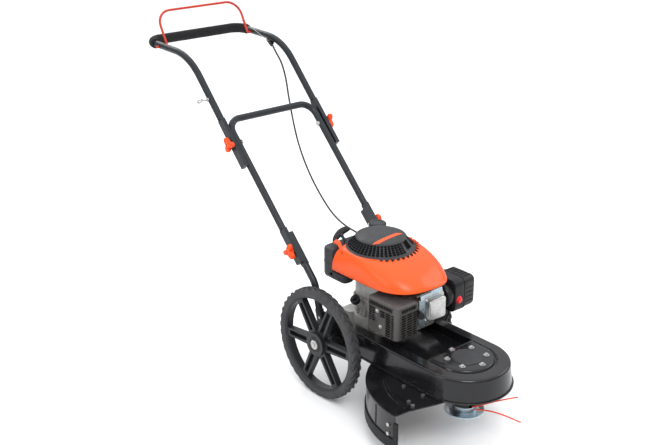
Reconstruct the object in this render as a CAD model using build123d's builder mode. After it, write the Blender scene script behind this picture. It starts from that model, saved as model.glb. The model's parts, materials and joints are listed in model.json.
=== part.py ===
from build123d import *
import os
from math import cos, hypot, radians, sin, tan

# Walk-behind wheeled string trimmer. Everything is placed from the middle of the axle:
# X runs across the machine, +Y towards the operator, +Z up from the ground.

# ---------------------------------------------------------------- driving dimensions (mm)
MID_X, AXLE_Y = 36.79, -171.25  # the axle's middle in the part's own frame
WHEEL_R, WHEEL_W, WHEEL_X = 175.0, 37.0, 192.0
AXLE_R, AXLE_Z = 7.0, 175.0
RUN_FIT, TURN_GAP = 0.05, 0.5

DECK_HALF, DECK_TOP, DECK_BOTTOM, SHEET = 130.0, 227.0, 158.0, 3.0
FLANGE_HALF, PAN_HALF, PAN_TOP = 142.0, 94.0, 198.0
HEAD_Y, ENGINE_Y, DECK_REAR = -421.0, -60.0, 62.0
DECK_FRONT_Y = -413.0
CASE_HALF, BASE_R, BASE_BOLTS = 58.0, 88.0, 77.0

TUBE_R, TUBE_WALL = 11.0, 1.8
LUG_T, LUG_W = 14.0, 25.0
FRAME_X, LOWER_X, UPPER_X = 155.0, 169.3, 187.7
LOWER_PIVOT = (145.0, 425.0)
UPPER_PIVOT = (416.0, 704.0)
FRAME_BOLT = (36.5, 235.0)
BOLT_R = 4.0
BAIL_R, BAIL_X = 4.0, 165.0
BAIL_PIVOT = (805.0, 947.0)
GRIP_Y, GRIP_Z = 883.0, 953.0

SHIELD_R, SHIELD_FROM, SHIELD_TO = 285.0, 108.0, 181.0
PLATE_Z, SHIELD_FOOT = 153.0, 66.0
LINE_R = 2.0
DRIVE_R, DRIVEN_R, BELT_Z = 30.0, 45.0, 176.0

COVER_Z, COVER_TOP, COVER_R = 457.0, 500.0, 100.0
CABLE_R = 3.0


# ---------------------------------------------------------------- placing
def at(x, y, z):
    """A point given from the middle of the axle, in the part's frame."""
    return Vector(MID_X + x, AXLE_Y + y, z)


def flat(z):
    """Level plane at height z, with its origin over the axle's middle."""
    return Plane(at(0, 0, z))


def side(x, y=0.0, z=0.0):
    """Upright plane that faces +X; its own x runs along +Y and its own y runs up."""
    return Plane(at(x, y, z), x_dir=(0, 1, 0), z_dir=(1, 0, 0))


def front(y, x=0.0, z=0.0):
    """Upright plane that faces the front; its own x runs along +X and its own y runs up."""
    return Plane(at(x, y, z), x_dir=(1, 0, 0), z_dir=(0, -1, 0))


def along(start, toward, shift):
    """The point that lies shift beyond start on the line from start to toward."""
    run = hypot(toward[0] - start[0], toward[1] - start[1])
    return (start[0] + shift * (toward[0] - start[0]) / run,
            start[1] + shift * (toward[1] - start[1]) / run)


# ---------------------------------------------------------------- repeated shapes
def bar(points, radii, outer, inner=0.0):
    """A round bar or tube along straight runs joined by tangent arcs."""
    with BuildPart(mode=Mode.PRIVATE) as shape:
        with BuildLine() as route:
            if radii:
                FilletPolyline(*points, radius=radii)
            else:
                Line(points[0], points[1])
        path = route.wire()
        with BuildSketch(Plane(path @ 0, z_dir=path % 0)):
            Circle(outer)
            if inner > 0:
                Circle(inner, mode=Mode.SUBTRACT)
        sweep(path=path)
    return shape.part


def rod(start, end, radius, inner=0.0):
    """A straight round rod or sleeve between two points."""
    with BuildPart(mode=Mode.PRIVATE) as shape:
        with BuildSketch(Plane(start, z_dir=end - start)):
            Circle(radius)
            if inner > 0:
                Circle(inner, mode=Mode.SUBTRACT)
        extrude(amount=(end - start).length)
    return shape.part


def turned(plane, outline):
    """A solid of revolution; outline holds (radius, height) points on the plane's z axis."""
    section = Plane(plane.origin, x_dir=plane.x_dir, z_dir=-plane.y_dir)
    with BuildPart(mode=Mode.PRIVATE) as shape:
        with BuildSketch(section):
            with BuildLine():
                Polyline(*outline, close=True)
            make_face()
        revolve(axis=Axis(plane.origin, plane.z_dir))
    return shape.part


def flattened(tube, x, pivot, toward, below, above):
    """Presses a tube flat round a pivot: its cheeks go and a lug fills the stretch."""
    low = along(pivot, toward, -below)
    high = along(pivot, toward, above)
    run = hypot(high[0] - low[0], high[1] - low[1])
    middle = at(x, (low[0] + high[0]) / 2, (low[1] + high[1]) / 2)
    lift = Plane(middle, x_dir=(0, high[0] - low[0], high[1] - low[1]), z_dir=(1, 0, 0))
    with BuildPart(mode=Mode.PRIVATE) as shape:
        add(tube)
        for face in (1, -1):
            with BuildSketch(lift.offset(face * LUG_T / 2)):
                Rectangle(run, 3 * TUBE_R)
            extrude(amount=face * 2 * TUBE_R, mode=Mode.SUBTRACT)
        with BuildSketch(lift.offset(-LUG_T / 2)):
            Rectangle(run, LUG_W)
        extrude(amount=LUG_T)
    return shape.part


def deck_outline(half, inset=0.0):
    """Top view of the deck: a round front end and straight sides."""
    with BuildSketch(mode=Mode.PRIVATE) as outline:
        with BuildLine():
            rear = DECK_REAR - inset
            ThreePointArc((-half, DECK_FRONT_Y), (0, DECK_FRONT_Y - half), (half, DECK_FRONT_Y))
            Line((half, DECK_FRONT_Y), (half, rear))
            Line((half, rear), (-half, rear))
            Line((-half, rear), (-half, DECK_FRONT_Y))
        make_face()
    return outline.sketch


os.makedirs("parts", exist_ok=True)

# ---------------------------------------------------------------- wheels
SPOKES, SPOKE_TURN = 6, 5.3
RIM_R, RIM_IN, HUB_R, HUB_DISC_R = 152.0, 143.0, 20.0, 37.0
for name, s in (("left", -1), ("right", 1)):
    hub_plane = Plane(at(s * WHEEL_X, 0, AXLE_Z), x_dir=(0, 1, 0), z_dir=(s, 0, 0))
    half = WHEEL_W / 2
    tyre = turned(hub_plane, [(RIM_R, -half + 3), (RIM_R, half - 3), (160, half), (168, half - 1),
                              (173.5, half - 5), (WHEEL_R, half - 11), (WHEEL_R, 11 - half),
                              (173.5, 5 - half), (168, 1 - half), (160, -half)])
    tyre.label = "tyre_" + name
    export_step(tyre, "parts/tyre_" + name + ".step")

    with BuildPart() as rim:
        add(turned(hub_plane, [(RIM_IN, -14), (RIM_IN, 10), (148, half - 3), (RIM_R, half - 3),
                               (RIM_R, 3 - half), (148, 3 - half)]))
        with BuildSketch(hub_plane.offset(-11)):
            with PolarLocations(0, SPOKES, start_angle=SPOKE_TURN):
                with Locations((82, 0)):
                    Trapezoid(34, 134, 88.3, rotation=-90)
            Circle(RIM_IN + 2, mode=Mode.INTERSECT)
        extrude(amount=20)
        with BuildSketch(hub_plane.offset(-5)):
            with PolarLocations(0, SPOKES, start_angle=SPOKE_TURN):
                with Locations((88, 0)):
                    Rectangle(88, 15)
        extrude(amount=20, mode=Mode.SUBTRACT)
        add(turned(hub_plane, [(0, -18), (HUB_R, -18), (HUB_R, 12), (HUB_DISC_R, 14),
                               (HUB_DISC_R, 20), (0, 20)]))
        with BuildSketch(hub_plane.offset(12)):
            Circle(15)
        extrude(amount=20, mode=Mode.SUBTRACT)
        with BuildSketch(hub_plane.offset(-20)):
            Circle(11)
        extrude(amount=50, mode=Mode.SUBTRACT)
    rim.part.label = "rim_" + name
    export_step(rim.part, "parts/rim_" + name + ".step")

for name, s in (("left", -1), ("right", 1)):
    inner_end = at(s * (WHEEL_X - 18), 0, AXLE_Z)
    outer_end = at(s * (WHEEL_X + 12), 0, AXLE_Z)
    bush = rod(inner_end, outer_end, 11.0, AXLE_R + RUN_FIT)
    bush.label = "wheel_bush_" + name
    export_step(bush, "parts/wheel_bush_" + name + ".step")

AXLE_END = WHEEL_X + 22.0
with BuildPart() as axle:
    add(rod(at(-AXLE_END, 0, AXLE_Z), at(AXLE_END, 0, AXLE_Z), AXLE_R))
axle.part.label = "axle"
export_step(axle.part, "parts/axle.step")

with BuildPart() as axle_nuts:
    for s in (-1, 1):
        nut_plane = side(s * (WHEEL_X + 13), 0, AXLE_Z)
        with BuildSketch(nut_plane):
            RegularPolygon(10.5, 6)
            Circle(AXLE_R, mode=Mode.SUBTRACT)
        extrude(amount=s * 8)
axle_nuts.part.label = "axle_nuts"
export_step(axle_nuts.part, "parts/axle_nuts.step")

# ---------------------------------------------------------------- deck
with BuildPart() as deck_shell:
    with BuildSketch(flat(DECK_BOTTOM)):
        add(deck_outline(DECK_HALF + 8))
    extrude(amount=DECK_TOP - DECK_BOTTOM, taper=6.5)
    fillet(deck_shell.faces().sort_by(Axis.Z)[-1].edges(), 9)
    with BuildSketch(flat(PAN_TOP)):
        with Locations((0, DECK_FRONT_Y)):
            Circle(PAN_HALF)
        with Locations((0, (DECK_FRONT_Y + DECK_REAR) / 2)):
            Rectangle(2 * PAN_HALF, DECK_REAR - DECK_FRONT_Y + 40)
    extrude(amount=60, mode=Mode.SUBTRACT)
    with BuildSketch(flat(DECK_BOTTOM)):
        add(deck_outline(DECK_HALF + 8 - SHEET, SHEET))
    extrude(amount=PAN_TOP - SHEET - DECK_BOTTOM, taper=6.5, mode=Mode.SUBTRACT)
    with BuildSketch(flat(PAN_TOP - SHEET - 1)):
        add(deck_outline(DECK_HALF + 0.6 - SHEET, SHEET))
        with Locations((0, DECK_FRONT_Y)):
            Circle(PAN_HALF + SHEET, mode=Mode.SUBTRACT)
        with Locations((0, (DECK_FRONT_Y + DECK_REAR) / 2)):
            Rectangle(2 * (PAN_HALF + SHEET), DECK_REAR - DECK_FRONT_Y + 40, mode=Mode.SUBTRACT)
    extrude(amount=DECK_TOP - PAN_TOP, mode=Mode.SUBTRACT)
    with BuildSketch(flat(DECK_BOTTOM)):
        add(deck_outline(FLANGE_HALF))
        add(deck_outline(DECK_HALF + 8 - SHEET, SHEET), mode=Mode.SUBTRACT)
    extrude(amount=SHEET)
    with BuildSketch(flat(PAN_TOP)):
        with Locations((0, DECK_FRONT_Y)):
            Circle(40)
    extrude(amount=6)
    with BuildSketch(flat(DECK_BOTTOM)):
        with Locations((0, HEAD_Y)):
            with PolarLocations(58, 6, start_angle=30):
                Circle(3.2)
        with Locations((0, ENGINE_Y)):
            Circle(22)
            with PolarLocations(BASE_BOLTS, 3, start_angle=90):
                Circle(4.2)
    extrude(amount=60, mode=Mode.SUBTRACT)
    with BuildSketch(side(-FLANGE_HALF, 0, AXLE_Z)):
        Circle(AXLE_R + 1)
    extrude(amount=2 * FLANGE_HALF, mode=Mode.SUBTRACT)
deck_shell.part.label = "deck_shell"
export_step(deck_shell.part, "parts/deck_shell.step")

with BuildPart() as belt_cover:
    with BuildSketch(flat(DECK_BOTTOM - 2)):
        add(deck_outline(FLANGE_HALF - 2))
        with Locations((0, HEAD_Y)):
            Circle(36, mode=Mode.SUBTRACT)
            with PolarLocations(58, 6, start_angle=30):
                Circle(3.2, mode=Mode.SUBTRACT)
    extrude(amount=2)
belt_cover.part.label = "belt_cover"
export_step(belt_cover.part, "parts/belt_cover.step")

with BuildPart() as deck_bolts:
    with BuildSketch(flat(PAN_TOP)):
        with Locations((0, HEAD_Y)):
            with PolarLocations(58, 6, start_angle=30):
                RegularPolygon(6.5, 6)
    extrude(amount=4.5)
    with BuildSketch(flat(PAN_TOP)):
        with Locations((0, HEAD_Y)):
            with PolarLocations(58, 6, start_angle=30):
                Circle(3.0)
    extrude(amount=-(PAN_TOP - DECK_BOTTOM + 14))
    with BuildSketch(flat(PAN_TOP + 10)):
        with Locations((0, ENGINE_Y)):
            with PolarLocations(BASE_BOLTS, 3, start_angle=90):
                RegularPolygon(7, 6)
    extrude(amount=5)
    with BuildSketch(flat(PAN_TOP + 10)):
        with Locations((0, ENGINE_Y)):
            with PolarLocations(BASE_BOLTS, 3, start_angle=90):
                Circle(4.0)
    extrude(amount=-22)
    with BuildSketch(flat(PLATE_Z + SHEET)):
        with Locations((-152, -400), (-158, -330), (-212, -420), (-205, -398)):
            RegularPolygon(6, 6)
    extrude(amount=4.5)
    for height in (120.0, 92.0):
        reach = Vector(cos(radians(176)), sin(radians(176)), 0)
        start = at(0, HEAD_Y, height) + reach * SHIELD_R
        add(rod(start, start + reach * 4, 5.5))
deck_bolts.part.label = "deck_bolts"
export_step(deck_bolts.part, "parts/deck_bolts.step")

# ---------------------------------------------------------------- head, spindle and belt
head_plane = Plane(at(0, HEAD_Y, 0))
SPINDLE_R, BEARING_R = 8.0, 17.5
spindle_housing = turned(head_plane, [(SPINDLE_R + 2, 120), (BEARING_R, 120), (BEARING_R, 132),
                                      (12, 132), (12, 136), (BEARING_R, 136), (BEARING_R, 150),
                                      (12, 150), (12, 156), (35.5, 156), (35.5, 153), (66, 153),
                                      (66, 146), (30, 146), (24, 138), (24, 117),
                                      (SPINDLE_R + 2, 117)])
with BuildPart() as housing:
    add(spindle_housing)
    with BuildSketch(flat(140)):
        with Locations((0, HEAD_Y)):
            with PolarLocations(58, 6, start_angle=30):
                Circle(3.2)
    extrude(amount=20, mode=Mode.SUBTRACT)
housing.part.label = "spindle_housing"
export_step(housing.part, "parts/spindle_housing.step")

with BuildPart() as spindle_bearings:
    for low in (120.0, 136.0):
        add(turned(head_plane, [(SPINDLE_R + RUN_FIT, low), (BEARING_R, low),
                                (BEARING_R, low + 12), (SPINDLE_R + RUN_FIT, low + 12)]))
spindle_bearings.part.label = "spindle_bearings"
export_step(spindle_bearings.part, "parts/spindle_bearings.step")

spindle = turned(head_plane, [(0, 62), (SPINDLE_R, 62), (SPINDLE_R, 190), (0, 190)])
spindle.label = "spindle"
export_step(spindle, "parts/spindle.step")


def pulley(plane, radius, bore):
    """A V-belt pulley round the plane's z axis, centred on the belt's height."""
    return turned(plane, [(bore, BELT_Z - 9), (radius + 3, BELT_Z - 9), (radius + 3, BELT_Z - 7),
                          (radius - 7, BELT_Z - 4), (radius - 7, BELT_Z + 4),
                          (radius + 3, BELT_Z + 7), (radius + 3, BELT_Z + 9), (bore, BELT_Z + 9)])


driven_pulley = pulley(head_plane, DRIVEN_R, SPINDLE_R)
driven_pulley.label = "driven_pulley"
export_step(driven_pulley, "parts/driven_pulley.step")

engine_plane = Plane(at(0, ENGINE_Y, 0))
CRANK_R = 11.0
drive_pulley = pulley(engine_plane, DRIVE_R, CRANK_R)
drive_pulley.label = "drive_pulley"
export_step(drive_pulley, "parts/drive_pulley.step")


def belt_loop(grow):
    """Top view of the belt's run round both pulleys, grown outwards by grow."""
    span = ENGINE_Y - HEAD_Y
    big, small = DRIVEN_R + grow, DRIVE_R + grow
    lean = (DRIVEN_R - DRIVE_R) / span
    rise = (1 - lean * lean) ** 0.5
    with BuildSketch(mode=Mode.PRIVATE) as loop:
        with BuildLine():
            near = [(s * big * rise, HEAD_Y + big * lean) for s in (-1, 1)]
            far = [(s * small * rise, ENGINE_Y + small * lean) for s in (-1, 1)]
            ThreePointArc(near[0], (0, HEAD_Y - big), near[1])
            Line(near[1], far[1])
            ThreePointArc(far[1], (0, ENGINE_Y + small), far[0])
            Line(far[0], near[0])
        make_face()
    return loop.sketch


with BuildPart() as drive_belt:
    with BuildSketch(flat(BELT_Z - 3)):
        add(belt_loop(1.0))
        add(belt_loop(-5.0), mode=Mode.SUBTRACT)
    extrude(amount=6)
drive_belt.part.label = "drive_belt"
export_step(drive_belt.part, "parts/drive_belt.step")

HUB_LOW, HUB_TOP, HEAD_R = 86.0, 110.0, 43.0
LINE_Z, LINE_TURN = 94.0, -112.0
head_hub = turned(head_plane, [(SPINDLE_R, HUB_LOW), (38, HUB_LOW), (HEAD_R, HUB_LOW + 5),
                               (HEAD_R, HUB_TOP - 6), (34, HUB_TOP), (SPINDLE_R, HUB_TOP)])
with BuildPart() as head:
    add(head_hub)
    for turn in (LINE_TURN, LINE_TURN + 180):
        reach = Vector(cos(radians(turn)), sin(radians(turn)), 0)
        centre = at(0, HEAD_Y, LINE_Z)
        add(rod(centre + reach * 26, centre + reach * 60, 7), mode=Mode.SUBTRACT)
head.part.label = "head_hub"
export_step(head.part, "parts/head_hub.step")

glide_disc = turned(head_plane, [(SPINDLE_R, 59), (44, 59), (57.5, 63), (57.5, 66), (44, 62),
                                 (35, 62), (35, HUB_LOW), (32, HUB_LOW), (32, 62),
                                 (SPINDLE_R, 62)])
with BuildPart() as disc:
    add(glide_disc)
    with BuildSketch(Plane(at(0, HEAD_Y, 59))):
        RegularPolygon(11, 6)
    extrude(amount=3)
disc.part.label = "glide_disc"
export_step(disc.part, "parts/glide_disc.step")

# Each length of trimmer line is folded over a peg in the head and leaves as a V.
LINE_ROUTE = [(122.0, -95.0, 96.0), (78.0, -77.0, 97.0), (34.0, -61.0, 96.0), (0.0, -50.0, 94.0),
              (-14.0, -41.0, 93.5), (-20.0, -44.5, 92.5), (-15.0, -53.0, 91.5), (-4.0, -65.0, 91.0),
              (14.0, -88.0, 90.0), (32.0, -126.0, 86.0), (46.0, -170.0, 79.0)]


def corner_radii(points, share=0.45):
    """The largest tangent arcs that the runs beside each corner leave room for."""
    radii = []
    for before, corner, after in zip(points, points[1:], points[2:]):
        come = Vector(*corner) - Vector(*before)
        leave = Vector(*after) - Vector(*corner)
        half_turn = radians(come.get_angle(leave)) / 2
        radii.append(share * min(come.length, leave.length) / tan(half_turn))
    return radii


for name, s in (("front", 1), ("rear", -1)):
    route = [at(s * x, HEAD_Y + s * y, z) for x, y, z in LINE_ROUTE]
    radii = corner_radii([tuple(p) for p in route])
    line = bar(route, radii, LINE_R)
    line.label = "trimmer_line_" + name
    export_step(line, "parts/trimmer_line_" + name + ".step")

# ---------------------------------------------------------------- guard on the left
with BuildPart() as side_plate:
    with BuildSketch(flat(PLATE_Z)):
        with BuildLine():
            start = (SHIELD_R * cos(radians(SHIELD_TO)), HEAD_Y + SHIELD_R * sin(radians(SHIELD_TO)))
            middle = (SHIELD_R * cos(radians(145)), HEAD_Y + SHIELD_R * sin(radians(145)))
            end = (SHIELD_R * cos(radians(SHIELD_FROM)), HEAD_Y + SHIELD_R * sin(radians(SHIELD_FROM)))
            ThreePointArc(start, middle, end)
            Polyline(end, (-80, -200), (-100, -470), (-144, -459), (-240, -430), start)
        make_face()
    extrude(amount=SHEET)
    with BuildSketch(flat(PLATE_Z + SHEET)):
        with BuildLine() as ribs:
            CenterArc((0, HEAD_Y), 232, 138, 40)
        trace(line_width=9)
    extrude(amount=3)
side_plate.part.label = "side_plate"
export_step(side_plate.part, "parts/side_plate.step")


def arc_wall(low, high, radius, thick, start, end):
    """An upright curved wall round the head's axis."""
    with BuildPart(mode=Mode.PRIVATE) as wall:
        with BuildSketch(flat(low)):
            with BuildLine():
                CenterArc((0, HEAD_Y), radius + thick / 2, start, end - start)
            trace(line_width=thick)
        extrude(amount=high - low)
    return wall.part


with BuildPart() as debris_shield:
    add(arc_wall(SHIELD_FOOT, PLATE_Z, SHIELD_R - 3, 3, SHIELD_FROM, SHIELD_TO))
debris_shield.part.label = "debris_shield"
export_step(debris_shield.part, "parts/debris_shield.step")

with BuildPart() as shield_skirt:
    add(arc_wall(50, 82, SHIELD_R, 3.5, SHIELD_FROM, SHIELD_TO + 1))
shield_skirt.part.label = "shield_skirt"
export_step(shield_skirt.part, "parts/shield_skirt.step")

# ---------------------------------------------------------------- frame
BRACKET_T = 4.0
BRACKET_X = FRAME_X - LUG_T / 2 - BRACKET_T
with BuildPart() as axle_brackets:
    for s in (-1, 1):
        with BuildSketch(side(s * BRACKET_X)):
            with BuildLine():
                Polyline((-26, 165), (-10, 150), (14, 150), (28, 166), (50, 248), (28, 254),
                         (-60, 240), (-150, 232), (-150, 205), (-95, 205), (-60, 190), close=True)
            make_face()
            with Locations((0, AXLE_Z)):
                Circle(AXLE_R, mode=Mode.SUBTRACT)
            with Locations((-62, 216)):
                Circle(14, mode=Mode.SUBTRACT)
            with Locations(FRAME_BOLT):
                Circle(BOLT_R, mode=Mode.SUBTRACT)
        extrude(amount=s * BRACKET_T)
        with BuildSketch(side(s * (DECK_HALF + 1.8))):
            with Locations((-110, 218), (0, 218)):
                Rectangle(60, 10)
        extrude(amount=s * (BRACKET_X - DECK_HALF - 1.8))
axle_brackets.part.label = "axle_brackets"
export_step(axle_brackets.part, "parts/axle_brackets.step")

FRAME_TOP = along(LOWER_PIVOT, UPPER_PIVOT, 57.0)
FRAME_KNEE = along(LOWER_PIVOT, UPPER_PIVOT, -118.0)
FRAME_FOOT = (30.0, 208.0)
for name, s in (("left", -1), ("right", 1)):
    route = [at(s * FRAME_X, *FRAME_TOP), at(s * FRAME_X, *FRAME_KNEE), at(s * FRAME_X, *FRAME_FOOT)]
    tube = bar(route, [70.0], TUBE_R, TUBE_R - TUBE_WALL)
    tube = flattened(tube, s * FRAME_X, LOWER_PIVOT, UPPER_PIVOT, 55, 57)
    tube = flattened(tube, s * FRAME_X, FRAME_FOOT, FRAME_KNEE, 0, 55)
    with BuildPart() as frame_tube:
        add(tube)
        for spot in (LOWER_PIVOT, FRAME_BOLT):
            with BuildSketch(side(s * FRAME_X - 15, *spot)):
                Circle(BOLT_R)
            extrude(amount=30, mode=Mode.SUBTRACT)
    frame_tube.part.label = "frame_tube_" + name
    export_step(frame_tube.part, "parts/frame_tube_" + name + ".step")


def pair_of_bolts(spot, inner, outer):
    """One bolt across X on each side of the machine, with its head inboard."""
    with BuildPart(mode=Mode.PRIVATE) as bolts:
        for s in (-1, 1):
            with BuildSketch(side(s * inner, *spot)):
                Circle(BOLT_R)
            extrude(amount=s * (outer - inner))
            with BuildSketch(side(s * inner, *spot)):
                Circle(8)
            extrude(amount=-s * 4)
    return bolts.part


KNOB_DEPTH = 20.0
with BuildPart() as frame_bolts:
    add(pair_of_bolts(LOWER_PIVOT, FRAME_X - LUG_T / 2, LOWER_X + LUG_T / 2 + 16))
    add(pair_of_bolts(FRAME_BOLT, BRACKET_X, FRAME_X + LUG_T / 2))
frame_bolts.part.label = "frame_bolts"
export_step(frame_bolts.part, "parts/frame_bolts.step")

with BuildPart() as handle_bolts:
    add(pair_of_bolts(UPPER_PIVOT, LOWER_X - TUBE_R, UPPER_X + LUG_T / 2 + 16))
handle_bolts.part.label = "handle_bolts"
export_step(handle_bolts.part, "parts/handle_bolts.step")

# ---------------------------------------------------------------- folding handle
lower_end = along(LOWER_PIVOT, UPPER_PIVOT, -45.0)
cross = along(UPPER_PIVOT, along(LOWER_PIVOT, UPPER_PIVOT, 600.0), 81.0)
loop = [at(-LOWER_X, *lower_end), at(-LOWER_X, *cross), at(LOWER_X, *cross), at(LOWER_X, *lower_end)]
tube = bar(loop, [46.0, 46.0], TUBE_R, TUBE_R - TUBE_WALL)
for s in (-1, 1):
    tube = flattened(tube, s * LOWER_X, LOWER_PIVOT, UPPER_PIVOT, 45, 75)
with BuildPart() as lower_handle:
    add(tube)
    for spot in (LOWER_PIVOT, UPPER_PIVOT):
        with BuildSketch(side(-200, *spot)):
            Circle(BOLT_R + RUN_FIT)
        extrude(amount=400, mode=Mode.SUBTRACT)
lower_handle.part.label = "lower_handle"
export_step(lower_handle.part, "parts/lower_handle.step")

BEND = (641.0, 944.0)
upper_end = along(UPPER_PIVOT, BEND, -85.0)
loop = [at(-UPPER_X, *upper_end), at(-UPPER_X, *BEND), at(-UPPER_X, GRIP_Y, GRIP_Z),
        at(UPPER_X, GRIP_Y, GRIP_Z), at(UPPER_X, *BEND), at(UPPER_X, *upper_end)]
tube = bar(loop, [190.0, 45.0, 45.0, 190.0], TUBE_R, TUBE_R - TUBE_WALL)
for s in (-1, 1):
    tube = flattened(tube, s * UPPER_X, UPPER_PIVOT, BEND, 85, 88)
with BuildPart() as upper_handle:
    add(tube)
    with BuildSketch(side(-200, *UPPER_PIVOT)):
        Circle(BOLT_R + RUN_FIT)
    extrude(amount=400, mode=Mode.SUBTRACT)
    with BuildSketch(side(-UPPER_X, *BAIL_PIVOT)):
        Circle(BAIL_R + RUN_FIT)
    extrude(amount=2 * UPPER_X, mode=Mode.SUBTRACT)
upper_handle.part.label = "upper_handle"
export_step(upper_handle.part, "parts/upper_handle.step")

grip_start = along((GRIP_Y, GRIP_Z), BEND, 47.0)
loop = [at(-UPPER_X, *grip_start), at(-UPPER_X, GRIP_Y, GRIP_Z),
        at(UPPER_X, GRIP_Y, GRIP_Z), at(UPPER_X, *grip_start)]
foam_grip = bar(loop, [45.0, 45.0], TUBE_R + 3.5, TUBE_R + 0.1)
foam_grip.label = "foam_grip"
export_step(foam_grip, "parts/foam_grip.step")

BAIL_TOP = (873.0, 1053.0)
bail_rise = [at(s * BAIL_X, *BAIL_PIVOT) for s in (-1, 1)]
loop = [at(-UPPER_X + 3, *BAIL_PIVOT), bail_rise[0], at(-BAIL_X, *BAIL_TOP),
        at(BAIL_X, *BAIL_TOP), bail_rise[1], at(UPPER_X - 3, *BAIL_PIVOT)]
bail = bar(loop, [6.0, 36.0, 36.0, 6.0], BAIL_R)
bail.label = "bail"
export_step(bail, "parts/bail.step")

with BuildPart() as cable_bracket:
    with BuildSketch(side(UPPER_X - TUBE_R - 3, 690, 934)):
        SlotOverall(40, 16, rotation=8)
    extrude(amount=2.8)
    with BuildSketch(front(676, UPPER_X - 18, 927)):
        Rectangle(12, 14)
    extrude(amount=2.5)
cable_bracket.part.label = "cable_bracket"
export_step(cable_bracket.part, "parts/cable_bracket.step")

GUIDE = (530.0, 824.0)
guide_at = -UPPER_X
with BuildPart() as rope_guide:
    with BuildSketch(side(guide_at - TUBE_R - 3, *GUIDE)):
        Circle(7)
    extrude(amount=2.8)
    add(rod(at(guide_at - TUBE_R - 22, *GUIDE), at(guide_at - TUBE_R - 1, *GUIDE), 2.2))
    with Locations(Plane(at(guide_at - TUBE_R - 30, *GUIDE), z_dir=(0, 1, 1))):
        Torus(9, 2.5)
rope_guide.part.label = "rope_guide"
export_step(rope_guide.part, "parts/rope_guide.step")


def wing_knob(name, x, s, spot, turn):
    """A plastic knob with a round hub and two raised wings, screwed onto a bolt."""
    plane = Plane(at(s * x, *spot), x_dir=(0, 1, 0), z_dir=(s, 0, 0))
    with BuildPart() as knob:
        with BuildSketch(plane):
            Circle(10)
        extrude(amount=KNOB_DEPTH - 4)
        with BuildSketch(plane.offset(5)):
            with BuildLine():
                Polyline((-9, -6), (-22, -9), (-24, 3), (-8, 8), (8, 8), (24, 3), (22, -9), (9, -6),
                         close=True)
            make_face()
            Circle(8)
        extrude(amount=KNOB_DEPTH - 5)
        fillet(knob.edges().group_by(Axis(plane.origin, plane.z_dir))[-1], 1.5)
        with BuildSketch(plane):
            Circle(BOLT_R + RUN_FIT)
        extrude(amount=17, mode=Mode.SUBTRACT)
    part = knob.part.rotate(Axis(plane.origin, (1, 0, 0)), turn)
    part.label = name
    export_step(part, "parts/" + name + ".step")


lower_face = LOWER_X + LUG_T / 2 + 0.4
upper_face = UPPER_X + LUG_T / 2 + 0.4
wing_knob("knob_lower_left", lower_face, -1, LOWER_PIVOT, 100)
wing_knob("knob_lower_right", lower_face, 1, LOWER_PIVOT, 80)
wing_knob("knob_upper_left", upper_face, -1, UPPER_PIVOT, 60)
wing_knob("knob_upper_right", upper_face, 1, UPPER_PIVOT, 115)

# ---------------------------------------------------------------- engine brake cable
UPPER_CABLE = [(169.0, 671.5, 926.0), (158.0, 640.0, 908.0), (146.0, 592.0, 882.0),
               (132.0, 552.0, 838.0), (122.0, 528.0, 786.0), (116.0, 511.0, 754.0)]
LOWER_CABLE = [(116.0, 511.0, 754.0), (107.0, 485.5, 706.0), (103.0, 460.0, 650.0),
               (97.0, 425.0, 599.0), (90.0, 382.0, 553.0), (78.0, 330.0, 517.0),
               (62.0, 274.0, 492.0), (43.0, 218.0, 477.0), (27.0, 164.0, 469.0),
               (13.0, 112.0, 467.0), (6.0, 74.0, 467.0), (4.5, 48.0, 466.0)]
for name, points in (("brake_cable_upper", UPPER_CABLE), ("brake_cable_lower", LOWER_CABLE)):
    route = [at(*point) for point in points]
    radii = corner_radii([tuple(p) for p in route])
    cable = bar(route, radii, CABLE_R)
    cable.label = name
    export_step(cable, "parts/" + name + ".step")

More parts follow.
